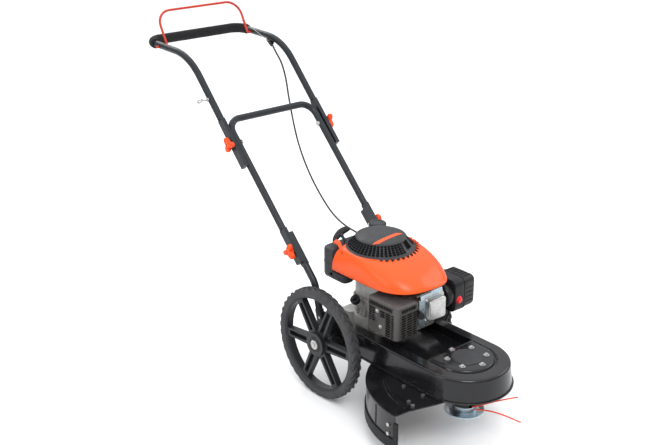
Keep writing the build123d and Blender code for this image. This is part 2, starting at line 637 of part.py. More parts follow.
# ---------------------------------------------------------------- engine
BRAKE_PIVOT = (92.0, -12.0)
SUMP_R, SUMP_H, BOLT_POCKET_R = 82.0, 36.0, 11.0
LUG_AT = (-50.0, 10.0)
NECK_START = at(-CASE_HALF, ENGINE_Y + 10, 268)
NECK_WAY = Vector(-0.67, 0, 0.74).normalized()
with BuildPart() as crankcase:
    with BuildSketch(flat(PAN_TOP)):
        with Locations((0, ENGINE_Y)):
            Circle(BASE_R)
    extrude(amount=10)
    with BuildSketch(flat(PAN_TOP + 10)):
        with Locations((0, ENGINE_Y)):
            Circle(SUMP_R)
    extrude(amount=SUMP_H, taper=4)
    with BuildSketch(flat(PAN_TOP + 10)):
        with Locations(LUG_AT):
            RectangleRounded(60, 50, 14)
    extrude(amount=SUMP_H, taper=2)
    with BuildSketch(flat(PAN_TOP + 10)):
        with Locations((0, ENGINE_Y)):
            with PolarLocations(BASE_BOLTS, 3, start_angle=90):
                Circle(BOLT_POCKET_R)
    extrude(amount=SUMP_H, mode=Mode.SUBTRACT)
    with BuildSketch(flat(PAN_TOP + 10)):
        with Locations((0, ENGINE_Y)):
            RectangleRounded(2 * CASE_HALF, 2 * CASE_HALF + 8, 18)
    extrude(amount=140, taper=1)
    with BuildSketch(flat(PAN_TOP + 22)):
        with Locations((0, ENGINE_Y)):
            Circle(46)
    extrude(amount=110, mode=Mode.SUBTRACT)
    with BuildSketch(flat(PAN_TOP)):
        with Locations((0, ENGINE_Y)):
            Circle(CRANK_R + RUN_FIT)
            with PolarLocations(BASE_BOLTS, 3, start_angle=90):
                Circle(4.2)
    extrude(amount=150, mode=Mode.SUBTRACT)
    add(rod(NECK_START - NECK_WAY * 4, NECK_START + NECK_WAY * 44, 11))
    add(rod(NECK_START + NECK_WAY * 10, NECK_START + NECK_WAY * 46, 8), mode=Mode.SUBTRACT)
    with BuildSketch(flat(336)):
        with BuildLine():
            Line((50, -24), BRAKE_PIVOT)
        trace(line_width=16)
        with Locations(BRAKE_PIVOT):
            Circle(8)
    extrude(amount=11)
    with BuildSketch(flat(340)):
        with Locations(BRAKE_PIVOT):
            Circle(3)
    extrude(amount=74)
crankcase.part.label = "crankcase"
export_step(crankcase.part, "parts/crankcase.step")

with BuildPart() as crankshaft:
    add(turned(engine_plane, [(0, 162), (CRANK_R, 162), (CRANK_R, 404), (8, 408), (8, 446), (0, 446)]))
    with BuildSketch(Plane(at(0, ENGINE_Y, 264))):
        SlotOverall(82, 40)
    extrude(amount=12)
crankshaft.part.label = "crankshaft"
export_step(crankshaft.part, "parts/crankshaft.step")

FINS, FIN_PITCH = 8, 12.0
CYL_X = 30.0
with BuildPart() as cylinder_block:
    with BuildSketch(front(ENGINE_Y - CASE_HALF - 4, CYL_X - 20, 300)):
        RectangleRounded(84, 92, 10)
    extrude(amount=120)
    for i in range(FINS):
        with BuildSketch(front(ENGINE_Y - CASE_HALF - 12 - i * FIN_PITCH, CYL_X - 20, 300)):
            RectangleRounded(100, 108, 6)
        extrude(amount=3.5)
    with BuildSketch(front(ENGINE_Y - CASE_HALF - 4, CYL_X - 20, 300)):
        Circle(30)
    extrude(amount=96, mode=Mode.SUBTRACT)
cylinder_block.part.label = "cylinder_block"
export_step(cylinder_block.part, "parts/cylinder_block.step")

HEAD_FACE = ENGINE_Y - CASE_HALF - 4 - 120
with BuildPart() as valve_cover:
    with BuildSketch(front(HEAD_FACE, 40, 312)):
        RectangleRounded(84, 84, 10)
    extrude(amount=6)
    with BuildSketch(front(HEAD_FACE - 6, 40, 312)):
        RectangleRounded(70, 68, 10)
    extrude(amount=18)
    fillet(valve_cover.faces().sort_by(Axis.Y)[0].edges(), 5)
valve_cover.part.label = "valve_cover"
export_step(valve_cover.part, "parts/valve_cover.step")

with BuildPart() as spark_plug:
    start = at(-24, HEAD_FACE - 1, 316)
    way = Vector(-0.5, -1, 0.1).normalized()
    add(rod(start, start + way * 16, 7))
    add(rod(start + way * 16, start + way * 40, 10))
spark_plug.part.label = "spark_plug"
export_step(spark_plug.part, "parts/spark_plug.step")

MUFFLER_X, MUFFLER_Z = -98.0, 320.0
GUARD_Y, GUARD_DEEP, GUARD_HIGH = -212.0, 128.0, 104.0
with BuildPart() as muffler:
    with BuildSketch(flat(MUFFLER_Z - 42)):
        with Locations((MUFFLER_X + 6, GUARD_Y)):
            RectangleRounded(58, 104, 14)
    extrude(amount=84)
    with BuildSketch(side(MUFFLER_X + 35, -190, 300)):
        Circle(14)
    extrude(amount=20)
muffler.part.label = "muffler"
export_step(muffler.part, "parts/muffler.step")

GUARD_T = 2.0
with BuildPart() as muffler_guard:
    with BuildSketch(flat(MUFFLER_Z - GUARD_HIGH / 2)):
        with Locations((MUFFLER_X, GUARD_Y)):
            RectangleRounded(78, GUARD_DEEP, 14)
    extrude(amount=GUARD_HIGH)
    with BuildSketch(flat(MUFFLER_Z - GUARD_HIGH / 2 - 6)):
        with Locations((MUFFLER_X + 4, GUARD_Y)):
            RectangleRounded(78 - 2 * GUARD_T + 8, GUARD_DEEP - 2 * GUARD_T, 12)
    extrude(amount=GUARD_HIGH + 6 - GUARD_T, mode=Mode.SUBTRACT)
    with BuildSketch(side(MUFFLER_X - 50, GUARD_Y, MUFFLER_Z)):
        with GridLocations(15, 20, 7, 4):
            SlotOverall(13, 5, rotation=90)
    extrude(amount=30, mode=Mode.SUBTRACT)
    with BuildSketch(front(GUARD_Y - 38, MUFFLER_X, MUFFLER_Z)):
        with GridLocations(20, 13, 3, 6):
            SlotOverall(15, 5)
    extrude(amount=40, mode=Mode.SUBTRACT)
    for height in (MUFFLER_Z - 30, MUFFLER_Z + 30):
        with BuildSketch(side(MUFFLER_X - 39 + GUARD_T, -180, height)):
            Circle(7)
        extrude(amount=11)
muffler_guard.part.label = "muffler_guard"
export_step(muffler_guard.part, "parts/muffler_guard.step")

with BuildPart() as carburettor:
    with BuildSketch(side(CASE_HALF + 3, -205, 320)):
        RectangleRounded(50, 56, 8)
    extrude(amount=52)
    with BuildSketch(flat(268)):
        with Locations((CASE_HALF + 28, -205)):
            Circle(20)
    extrude(amount=26)
carburettor.part.label = "carburettor"
export_step(carburettor.part, "parts/carburettor.step")

BOX_LEFT, BOX_LONG, BOX_Y, BOX_Z = 115.0, 95.0, -212.0, 322.0
BULB_X, BULB_R = 133.0, 13.5
with BuildPart() as air_filter_box:
    with BuildSketch(side(BOX_LEFT, BOX_Y, BOX_Z)):
        RectangleRounded(104, 106, 22)
    extrude(amount=BOX_LONG)
    fillet(air_filter_box.faces().sort_by(Axis.X)[-1].edges(), 10)
    with BuildSketch(side(BOX_LEFT, BOX_Y, BOX_Z)):
        RectangleRounded(98, 100, 20)
    extrude(amount=BOX_LONG - 4, mode=Mode.SUBTRACT)
    with BuildSketch(side(BOX_LEFT, BOX_Y, BOX_Z)):
        RectangleRounded(98, 100, 20)
        Circle(16, mode=Mode.SUBTRACT)
    extrude(amount=3)
    with BuildSketch(front(BOX_Y - 45, BULB_X, 312)):
        Circle(BULB_R + 0.4)
    extrude(amount=20, mode=Mode.SUBTRACT)
air_filter_box.part.label = "air_filter_box"
export_step(air_filter_box.part, "parts/air_filter_box.step")

with BuildPart() as primer_bulb:
    with BuildSketch(front(BOX_Y - 46, BULB_X, 312)):
        Circle(BULB_R)
    extrude(amount=12)
    fillet(primer_bulb.faces().sort_by(Axis.Y)[0].edges(), 5)
primer_bulb.part.label = "primer_bulb"
export_step(primer_bulb.part, "parts/primer_bulb.step")

NOSE_Y, SHROUD_X, SHROUD_REAR = -280.0, 124.0, 20.0
NOSE_R, SHROUD_Z, TAIL = 110.0, 388.0, 200.0


def shroud_core(shrink):
    """The shroud's outer form, drawn in all round by shrink; its tail is cut off later."""
    with BuildPart(mode=Mode.PRIVATE) as core:
        for low, high, inset, top_inset in ((SHROUD_Z, 420, 0, 5), (420, COVER_Z, 5, 14)):
            bottom, top = low - (2 if shrink else 0), high + (1 if shrink else 0)
            with BuildSketch(flat(bottom)):
                with Locations((0, (NOSE_Y + inset + TAIL) / 2)):
                    RectangleRounded(2 * (SHROUD_X - inset - shrink), TAIL - NOSE_Y - inset - 2 * shrink,
                                     NOSE_R - inset - shrink)
            slope = 5.0 * top_inset if low > SHROUD_Z else top_inset
            with BuildSketch(flat(top)):
                with Locations((0, (NOSE_Y + slope + TAIL) / 2)):
                    RectangleRounded(2 * (SHROUD_X - top_inset - shrink), TAIL - NOSE_Y - slope - 2 * shrink,
                                     NOSE_R - top_inset - shrink)
            loft(ruled=True)
    return core.part


with BuildPart() as shroud:
    add(shroud_core(0))
    add(shroud_core(3), mode=Mode.SUBTRACT)
    with BuildSketch(flat(COVER_Z - 3)):
        with Locations((0, (NOSE_Y + 70 + TAIL) / 2)):
            RectangleRounded(2 * (SHROUD_X - 14), TAIL - NOSE_Y - 70, NOSE_R - 14)
        with Locations((0, ENGINE_Y)):
            Circle(COVER_R - 2, mode=Mode.SUBTRACT)
    extrude(amount=3)
    with BuildSketch(flat(SHROUD_Z - 10)):
        with Locations((0, SHROUD_REAR + 150)):
            Rectangle(500, 300)
    extrude(amount=200, mode=Mode.SUBTRACT)
    with BuildSketch(flat(430)):
        with Locations((-58, 20)):
            Rectangle(34, 60)
    extrude(amount=40, mode=Mode.SUBTRACT)
shroud.part.label = "shroud"
export_step(shroud.part, "parts/shroud.step")

PULL_START = at(-58, 32, 459)
PULL_WAY = Vector(0, 0.8, 0.6)
with BuildPart() as recoil_cover:
    add(turned(engine_plane, [(COVER_R, COVER_Z), (COVER_R + 4, COVER_Z), (98, 466), (74, 490), (66, 497),
                              (40, COVER_TOP), (0, COVER_TOP), (0, COVER_TOP - 3), (40, 497), (64, 494),
                              (71, 488), (94, 465)]))
    add(rod(PULL_START - PULL_WAY * 20, PULL_START - PULL_WAY, 8, 3))
    add(rod(PULL_START - PULL_WAY * 24, PULL_START + PULL_WAY * 4, 3), mode=Mode.SUBTRACT)
    add(rod(at(3, 32, 463), at(4.3, 46.5, 466), 6))
    add(rod(at(0, ENGINE_Y, 454), at(0, ENGINE_Y, 498), 5))
recoil_cover.part.label = "recoil_cover"
export_step(recoil_cover.part, "parts/recoil_cover.step")

flywheel = turned(engine_plane, [(8, 414), (86, 414), (86, 436), (78, 436), (78, 420), (8, 420)])
flywheel.label = "flywheel"
export_step(flywheel, "parts/flywheel.step")

with BuildPart() as recoil_reel:
    add(turned(engine_plane, [(5 + RUN_FIT, 456), (44, 456), (44, 459), (36, 461), (36, 466), (44, 468),
                              (44, 471), (5 + RUN_FIT, 471)]))
recoil_reel.part.label = "recoil_reel"
export_step(recoil_reel.part, "parts/recoil_reel.step")

with BuildPart() as starter_handle:
    middle = PULL_START + PULL_WAY * 28
    add(rod(PULL_START - PULL_WAY * 12, middle, 2.2))
    add(rod(PULL_START, middle, 5))
    add(bar([middle + Vector(-34, -2, -13), middle + PULL_WAY * 9,
             middle + Vector(34, 2, 13)], [60.0], 7))
starter_handle.part.label = "starter_handle"
export_step(starter_handle.part, "parts/starter_handle.step")

TANK_FOOT, TANK_TOP, CAP_FOOT = 354.0, 450.0, 455.0
TANK_HALF, TANK_FRONT, TANK_BACK, TANK_WALL = 119.0, 24.0, 77.0, 4.0
TANK_HOLLOW, TANK_ROUND, WING_H = 114.0, 24.0, 26.0
CAP_AT = (92.0, 52.0)


def tank_outline(inset):
    """Top view of the tank: round back corners, and a hollow front that clears the engine."""
    with BuildSketch(mode=Mode.PRIVATE) as outline:
        with Locations((0, TANK_BACK - 100)):
            RectangleRounded(2 * (TANK_HALF - inset), 200 - 2 * inset, TANK_ROUND - inset)
        with Locations((0, TANK_FRONT + inset - 100)):
            Rectangle(300, 200, mode=Mode.SUBTRACT)
        with Locations((0, ENGINE_Y)):
            Circle(TANK_HOLLOW + inset, mode=Mode.SUBTRACT)
    return outline.sketch


def tank_wing(inset):
    """Top view of the low part of the tank that runs forward under the shroud."""
    with BuildSketch(mode=Mode.PRIVATE) as outline:
        with Locations((-TANK_HALF + 23.5, 9)):
            RectangleRounded(47 - 2 * inset, 82 - 2 * inset, 16 - inset)
    return outline.sketch


with BuildPart() as fuel_tank:
    with BuildSketch(flat(TANK_FOOT)):
        add(tank_outline(0))
    extrude(amount=TANK_TOP - TANK_FOOT)
    fillet(fuel_tank.faces().sort_by(Axis.Z)[-1].edges(), 3)
    with BuildSketch(flat(TANK_FOOT)):
        add(tank_wing(0))
    extrude(amount=WING_H)
    with BuildSketch(flat(TANK_FOOT + TANK_WALL)):
        add(tank_outline(TANK_WALL))
    extrude(amount=TANK_TOP - TANK_FOOT - 2 * TANK_WALL, mode=Mode.SUBTRACT)
    with BuildSketch(flat(TANK_FOOT + TANK_WALL)):
        add(tank_wing(TANK_WALL))
    extrude(amount=WING_H - 2 * TANK_WALL, mode=Mode.SUBTRACT)
    with BuildSketch(flat(TANK_TOP - 1)):
        with Locations(CAP_AT):
            Circle(20)
    extrude(amount=CAP_FOOT + 10 - TANK_TOP)
    with BuildSketch(flat(TANK_TOP - 6)):
        with Locations(CAP_AT):
            Circle(17)
    extrude(amount=26, mode=Mode.SUBTRACT)
fuel_tank.part.label = "fuel_tank"
export_step(fuel_tank.part, "parts/fuel_tank.step")

LOBES = 10
with BuildPart() as fuel_cap:
    with BuildSketch(flat(CAP_FOOT)):
        with Locations(CAP_AT):
            Circle(26)
            with PolarLocations(26, LOBES):
                Circle(3)
    extrude(amount=24)
    fillet(fuel_cap.faces().sort_by(Axis.Z)[-1].edges(), 2)
    with BuildSketch(flat(CAP_FOOT - 1)):
        with Locations(CAP_AT):
            Circle(20.3)
    extrude(amount=13, mode=Mode.SUBTRACT)
    with BuildSketch(flat(CAP_FOOT - 5)):
        with Locations(CAP_AT):
            Circle(16.7)
    extrude(amount=20)
fuel_cap.part.label = "fuel_cap"
export_step(fuel_cap.part, "parts/fuel_cap.step")

with BuildPart() as dipstick:
    top = NECK_START + NECK_WAY * 44.4
    add(rod(top, top + NECK_WAY * 12, 15))
    add(rod(top - NECK_WAY * 30, top + NECK_WAY, 2.5))
    add(rod(top + NECK_WAY * 12, top + NECK_WAY * 20, 6))
dipstick.part.label = "dipstick"
export_step(dipstick.part, "parts/dipstick.step")

# The brake pad rests on the flywheel's rim until the bail is held.
with BuildPart() as brake_lever:
    with BuildSketch(flat(408)):
        with Locations(BRAKE_PIVOT):
            Circle(8)
        with BuildLine():
            Polyline(BRAKE_PIVOT, (64, 18), (41, 22))
        trace(line_width=9)
    extrude(amount=4)
    with BuildSketch(flat(412)):
        with BuildLine():
            CenterArc((0, ENGINE_Y), 90.5, 52, 20)
        trace(line_width=7)
    extrude(amount=14)
    with BuildSketch(flat(404)):
        with Locations(BRAKE_PIVOT):
            Circle(3 + RUN_FIT)
    extrude(amount=10, mode=Mode.SUBTRACT)
brake_lever.part.label = "brake_lever"
export_step(brake_lever.part, "parts/brake_lever.step")
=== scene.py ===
import json
import random
from math import asin, ceil, cos, degrees, hypot, pi, radians, sin

import bpy
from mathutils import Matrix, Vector


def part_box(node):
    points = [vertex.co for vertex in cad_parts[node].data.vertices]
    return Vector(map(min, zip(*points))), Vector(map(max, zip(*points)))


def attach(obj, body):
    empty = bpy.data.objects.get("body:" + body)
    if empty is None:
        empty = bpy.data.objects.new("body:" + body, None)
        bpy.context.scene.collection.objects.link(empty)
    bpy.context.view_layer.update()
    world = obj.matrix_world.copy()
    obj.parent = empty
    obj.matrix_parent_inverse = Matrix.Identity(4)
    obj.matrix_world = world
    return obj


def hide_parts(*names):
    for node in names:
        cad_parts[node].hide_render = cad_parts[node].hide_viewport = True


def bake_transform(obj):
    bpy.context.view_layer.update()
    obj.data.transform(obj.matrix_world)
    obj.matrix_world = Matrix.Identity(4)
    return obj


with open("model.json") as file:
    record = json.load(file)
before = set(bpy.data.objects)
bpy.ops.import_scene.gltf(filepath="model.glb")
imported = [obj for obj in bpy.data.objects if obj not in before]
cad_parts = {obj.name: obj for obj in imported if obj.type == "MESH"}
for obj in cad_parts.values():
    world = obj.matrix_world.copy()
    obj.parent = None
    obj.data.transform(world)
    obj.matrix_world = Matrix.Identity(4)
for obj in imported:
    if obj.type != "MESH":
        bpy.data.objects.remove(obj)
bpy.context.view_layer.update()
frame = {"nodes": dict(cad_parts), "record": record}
nodes = frame["nodes"]

# Places below are in millimetres from the middle of the axle, with heights from the ground.
# at() turns them into metres in the shared frame.
MM = 0.001
axle_low, axle_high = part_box("axle")
AXLE = (axle_low + axle_high) / 2


def at(x, y, z):
    return Vector((AXLE.x + x * MM, AXLE.y + y * MM, z * MM))


def place(node):
    """A CAD node's box as two corners in millimetres from the middle of the axle."""
    low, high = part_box(node)
    return tuple(((v.x - AXLE.x) / MM, (v.y - AXLE.y) / MM, v.z / MM) for v in (low, high))


# ------------------------ materials
def add_node(tree, kind, **inputs):
    node = tree.nodes.new(kind)
    for key, value in inputs.items():
        node.inputs[key.replace("_", " ")].default_value = value
    return node


def noise(tree, where, scale, detail=3.0, stretch=None):
    """A noise pattern in object space, stretched along one axis if asked."""
    vector = where.outputs["Object"]
    if stretch:
        mapping = tree.nodes.new("ShaderNodeMapping")
        mapping.inputs["Scale"].default_value = stretch
        tree.links.new(vector, mapping.inputs["Vector"])
        vector = mapping.outputs["Vector"]
    pattern = add_node(tree, "ShaderNodeTexNoise", Scale=scale, Detail=detail, Roughness=0.6)
    tree.links.new(vector, pattern.inputs["Vector"])
    return pattern.outputs["Fac"]


def spread(tree, value, low, high, start=0.3, end=0.7):
    node = tree.nodes.new("ShaderNodeMapRange")
    for key, number in (("From Min", start), ("From Max", end), ("To Min", low), ("To Max", high)):
        node.inputs[key].default_value = number
    tree.links.new(value, node.inputs["Value"])
    return node.outputs["Result"]


def blend_colour(tree, share, first, second):
    node = tree.nodes.new("ShaderNodeMix")
    node.data_type = "RGBA"
    for socket, colour in (("A", first), ("B", second)):
        target = [s for s in node.inputs if s.name == socket and s.type == "RGBA"][0]
        if isinstance(colour, tuple):
            target.default_value = (*colour, 1.0)
        else:
            tree.links.new(colour, target)
    tree.links.new(share, node.inputs["Factor"])
    return [s for s in node.outputs if s.type == "RGBA"][0]


def multiply(tree, first, second):
    node = tree.nodes.new("ShaderNodeMath")
    node.operation = "MULTIPLY"
    tree.links.new(first, node.inputs[0])
    tree.links.new(second, node.inputs[1])
    return node.outputs[0]


def edges_of(tree, width):
    """Near 1 along sharp edges and 0 on open faces."""
    bevel = add_node(tree, "ShaderNodeBevel", Radius=width)
    bevel.samples = 4
    geometry = tree.nodes.new("ShaderNodeNewGeometry")
    dot = tree.nodes.new("ShaderNodeVectorMath")
    dot.operation = "DOT_PRODUCT"
    tree.links.new(bevel.outputs["Normal"], dot.inputs[0])
    tree.links.new(geometry.outputs["Normal"], dot.inputs[1])
    return spread(tree, dot.outputs["Value"], 1.0, 0.0, start=0.80, end=0.985)


def finish(name, colour, rough, metal=0.0, coat=0.0, mottle=0.12, mottle_scale=35.0, uneven=0.08,
           grain=0.1, grain_scale=1400.0, grain_depth=0.0003, wear=None, wear_width=0.0012,
           wear_amount=0.7, brushed=None, dirt=None, specular=0.5):
    """One procedural finish: mottled colour, uneven roughness, fine grain and worn edges."""
    made = bpy.data.materials.new(name)
    made.use_nodes = True
    tree = made.node_tree
    shader = tree.nodes["Principled BSDF"]
    shader.inputs["Metallic"].default_value = metal
    shader.inputs["Coat Weight"].default_value = coat
    shader.inputs["Coat Roughness"].default_value = 0.08
    shader.inputs["Specular IOR Level"].default_value = specular
    where = tree.nodes.new("ShaderNodeTexCoord")
    cloud = noise(tree, where, mottle_scale, 4.0)
    dark = tuple(c * (1 - mottle) for c in colour)
    light = tuple(min(1.0, c * (1 + mottle)) for c in colour)
    surface = blend_colour(tree, spread(tree, cloud, 0.0, 1.0), dark, light)
    if dirt:
        low_noise = noise(tree, where, 18.0, 5.0)
        surface = blend_colour(tree, spread(tree, low_noise, 0.0, 0.5, 0.5, 0.75), surface, dirt)
    if wear:
        mask = edges_of(tree, wear_width)
        broken = spread(tree, noise(tree, where, 160.0, 5.0), 0.0, wear_amount, 0.42, 0.62)
        surface = blend_colour(tree, multiply(tree, mask, broken), surface, wear)
    tree.links.new(surface, shader.inputs["Base Color"])
    smear = noise(tree, where, mottle_scale * 2.6, 5.0, brushed)
    low, high = max(0.02, rough - uneven), min(1.0, rough + uneven)
    tree.links.new(spread(tree, smear, low, high), shader.inputs["Roughness"])
    fine = noise(tree, where, grain_scale, 3.0, brushed)
    bump = add_node(tree, "ShaderNodeBump", Strength=grain, Distance=grain_depth)
    tree.links.new(fine, bump.inputs["Height"])
    tree.links.new(bump.outputs["Normal"], shader.inputs["Normal"])
    return made


STEEL_WEAR = (0.45, 0.44, 0.42)
PAINT_BLACK = finish("gloss_black_paint", (0.006, 0.006, 0.007), 0.2, coat=0.22, specular=0.3, mottle=0.3,
                     mottle_scale=14,
                     uneven=0.07, grain=0.12, grain_scale=260, grain_depth=0.0004, wear=STEEL_WEAR,
                     wear_amount=0.35)
PAINT_TUBE = finish("satin_tube_paint", (0.013, 0.016, 0.019), 0.36, coat=0.05, specular=0.3, mottle=0.2,
                    mottle_scale=30,
                    grain=0.1, grain_scale=700, wear=(0.3, 0.3, 0.3), wear_amount=0.4)
ORANGE = finish("orange_shroud", (0.82, 0.085, 0.007), 0.34, coat=0.05, specular=0.35, mottle=0.05,
                mottle_scale=9, uneven=0.06,
                grain=0.07, grain_scale=1800, wear=(0.98, 0.3, 0.12), wear_width=0.0015, wear_amount=0.45)
ORANGE_KNOB = finish("orange_knob", (0.84, 0.07, 0.007), 0.4, specular=0.3, mottle=0.07, mottle_scale=60,
                     grain=0.12,
                     grain_scale=1500, wear=(0.98, 0.3, 0.15), wear_amount=0.5)
BAIL_PAINT = finish("bail_coating", (0.5, 0.03, 0.008), 0.38, coat=0.05, specular=0.3, mottle=0.08,
                    mottle_scale=50, grain=0.08,
                    grain_scale=900)
GREY_PLASTIC = finish("charcoal_plastic", (0.034, 0.035, 0.038), 0.46, specular=0.3, mottle=0.14,
                      mottle_scale=24, uneven=0.08,
                      grain=0.3, grain_scale=2400, wear=(0.12, 0.12, 0.12), wear_amount=0.6)
BLACK_PLASTIC = finish("black_plastic", (0.009, 0.009, 0.01), 0.42, specular=0.3, mottle=0.2, mottle_scale=30,
                       grain=0.25,
                       grain_scale=2200, wear=(0.08, 0.08, 0.08), wear_amount=0.6)
GUARD_PAINT = finish("heat_proof_grey", (0.075, 0.07, 0.068), 0.45, metal=0.3, specular=0.35, mottle=0.2,
                     mottle_scale=28,
                     grain=0.35, grain_scale=1100, wear=(0.3, 0.28, 0.26), wear_amount=0.6)
RIM_PLASTIC = finish("rim_plastic", (0.02, 0.021, 0.023), 0.42, specular=0.3, mottle=0.15, mottle_scale=18,
                     grain=0.25,
                     grain_scale=1600, wear=(0.13, 0.13, 0.135), wear_amount=0.6)
TYRE = finish("tyre_rubber", (0.042, 0.042, 0.045), 0.6, specular=0.3, mottle=0.22, mottle_scale=26,
              uneven=0.1, grain=0.4,
              grain_scale=900, wear=(0.1, 0.1, 0.1), wear_amount=0.7, dirt=(0.06, 0.056, 0.05))
RUBBER = finish("skirt_rubber", (0.008, 0.008, 0.009), 0.6, specular=0.25, mottle=0.2, mottle_scale=30,
                grain=0.3,
                grain_scale=900)
FOAM = finish("foam_grip", (0.012, 0.012, 0.013), 0.85, mottle=0.25, mottle_scale=90, grain=0.8,
              grain_scale=900,
              grain_depth=0.0006, specular=0.25)
STEEL = finish("zinc_steel", (0.5, 0.5, 0.49), 0.34, metal=1.0, mottle=0.12, mottle_scale=60, uneven=0.1,
               grain=0.15, grain_scale=900)
MACHINED = finish("machined_steel", (0.42, 0.42, 0.42), 0.34, metal=1.0, mottle=0.15, mottle_scale=40,
                  grain=0.2, grain_scale=600, brushed=(1, 1, 6))
ZINC_BLUE = finish("blue_zinc", (0.5, 0.6, 0.66), 0.3, metal=0.9, mottle=0.1, mottle_scale=16, uneven=0.08,
                   grain=0.12, grain_scale=500)
CAST = finish("cast_aluminium", (0.5, 0.495, 0.48), 0.55, metal=0.6, mottle=0.14, mottle_scale=45,
              uneven=0.12,
              grain=0.6, grain_scale=750, grain_depth=0.0005, dirt=(0.2, 0.19, 0.17))
RED_PLASTIC = finish("red_primer", (0.7, 0.006, 0.008), 0.24, coat=0.15, specular=0.35, mottle=0.08,
                     grain=0.05)
CABLE_BLACK = finish("cable_sheath", (0.012, 0.012, 0.013), 0.45, mottle=0.2, mottle_scale=90, grain=0.2)
NYLON = finish("line_nylon", (0.85, 0.06, 0.01), 0.35, specular=0.3, mottle=0.12, mottle_scale=120, grain=0.1)
ROPE = finish("braided_rope", (0.35, 0.34, 0.31), 0.7, mottle=0.2, mottle_scale=400, grain=0.8,
              grain_scale=900)
BRONZE = finish("bronze", (0.45, 0.3, 0.13), 0.4, metal=1.0, grain=0.2)
# Painted shade: a near-black, almost unreflective finish put on the floors of holes and slots to stand in for
# the shade inside them.
HOLE_PAINTED_SHADE = finish("dark_inside", (0.003, 0.003, 0.003), 0.9, mottle=0.3, grain=0.2, specular=0.05)
# Painted shade: a darker copy of the cast aluminium, used on the cylinder block to stand in for the shade on its
# fins.
CAST_PAINTED_SHADE = finish("cast_in_shade", (0.17, 0.165, 0.155), 0.6, metal=0.5, mottle=0.2, mottle_scale=45,
                   grain=0.6,
                   grain_scale=750, grain_depth=0.0005)
BELT = finish("belt_rubber", (0.015, 0.015, 0.015), 0.7, grain=0.5, grain_scale=700)

BY_SLOT = {
    "black_steel": PAINT_BLACK, "tube_paint": PAINT_TUBE, "bright_steel": STEEL, "zinc_plate": ZINC_BLUE,
    "tyre_rubber": TYRE, "rim_plastic": RIM_PLASTIC, "orange_plastic": ORANGE_KNOB, "grey_plastic": GREY_PLASTIC,
    "black_plastic": BLACK_PLASTIC, "red_plastic": RED_PLASTIC, "cast_aluminium": CAST,
    "machined_steel": MACHINED, "foam": FOAM, "skirt_rubber": RUBBER, "bail_paint": BAIL_PAINT,
    "belt_rubber": BELT, "cable_sheath": CABLE_BLACK, "line_nylon": NYLON, "bronze": BRONZE,
}
node_slot = {row["node"]: row["material_slot"] for row in frame["record"]["subparts"]}
for name, obj in nodes.items():
    obj.data.materials.clear()
    # The cylinder block takes the darker cast finish as painted shade; every other node takes its slot's finish.
    obj.data.materials.append(CAST_PAINTED_SHADE if name == "cylinder_block" else BY_SLOT[node_slot[name]])


# ------------------------ mesh tools
def piece(name, verts, faces, mats, body, slot, replaces=(), face_mats=None, sharp=38.0):
    """A mesh piece in the shared frame that rides on a body."""
    mesh = bpy.data.meshes.new(name)
    mesh.from_pydata([tuple(v) for v in verts], [], faces)
    mats = mats if isinstance(mats, list) else [mats]
    for material in mats:
        mesh.materials.append(material)
    if face_mats:
        mesh.polygons.foreach_set("material_index", face_mats)
    mesh.polygons.foreach_set("use_smooth", [True] * len(mesh.polygons))
    mesh.set_sharp_from_angle(angle=radians(sharp))
    mesh.validate()
    obj = bpy.data.objects.new(name, mesh)
    bpy.context.scene.collection.objects.link(obj)
    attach(obj, body)
    if replaces:
        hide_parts(*replaces)
    return obj


def smooth_object(name, verts, faces, material):
    """A smooth mesh object that no body holds, for the pieces that run between two bodies."""
    mesh = bpy.data.meshes.new(name)
    mesh.from_pydata([tuple(v) for v in verts], [], faces)
    mesh.materials.append(material)
    mesh.polygons.foreach_set("use_smooth", [True] * len(mesh.polygons))
    obj = bpy.data.objects.new(name, mesh)
    bpy.context.scene.collection.objects.link(obj)
    return obj


def thicken(obj, thickness, offset=-1.0):
    shell = obj.modifiers.new("thickness", "SOLIDIFY")
    shell.thickness = thickness * MM
    shell.offset = offset
    return obj


def soften(obj, width, segments=2, angle=35.0):
    bevel = obj.modifiers.new("soft_edges", "BEVEL")
    bevel.width = width * MM
    bevel.segments = segments
    bevel.limit_method = "ANGLE"
    bevel.angle_limit = radians(angle)
    return obj


def quads(rows, columns, wrap_rows=False, wrap_columns=False):
    faces = []
    for i in range(rows if wrap_rows else rows - 1):
        for j in range(columns if wrap_columns else columns - 1):
            k, l = (i + 1) % rows, (j + 1) % columns
            faces.append((i * columns + j, i * columns + l, k * columns + l, k * columns + j))
    return faces


def lofted(rings, close_ends=True):
    """Vertices and faces of a skin over rings that have the same number of points."""
    count = len(rings[0])
    verts = [p for ring in rings for p in ring]
    faces = quads(len(rings), count, wrap_columns=True)
    if close_ends:
        faces.append(tuple(reversed(range(count))))
        faces.append(tuple(range((len(rings) - 1) * count, len(rings) * count)))
    return verts, faces


def spun(profile, centre, axis, count=64):
    """A surface of revolution; profile holds (radius, distance along the axis) in mm."""
    axis = Vector(axis).normalized()
    across = axis.orthogonal().normalized()
    third = axis.cross(across)
    verts = []
    for radius, shift in profile:
        for i in range(count):
            a = 2 * pi * i / count
            verts.append(centre + (axis * shift + (across * cos(a) + third * sin(a)) * radius) * MM)
    return verts, quads(len(profile), count, wrap_columns=True)


def rounded_rect(width, height, radius, steps=6):
    points = []
    for cx, cy, start in ((1, 1, 0), (-1, 1, 90), (-1, -1, 180), (1, -1, 270)):
        for i in range(steps + 1):
            a = radians(start + 90 * i / steps)
            points.append((cx * (width / 2 - radius) + radius * cos(a),
                    cy * (height / 2 - radius) + radius * sin(a)))
    return points


def frames_along(points):
    """Sideways and upward directions that follow a line without twisting."""
    ways = []
    for i in range(len(points)):
        before, after = points[max(i - 1, 0)], points[min(i + 1, len(points) - 1)]
        ways.append((after - before).normalized())
    side = ways[0].orthogonal().normalized()
    out = []
    for way in ways:
        side = (side - way * side.dot(way)).normalized()
        out.append((side, way.cross(side)))
    return out


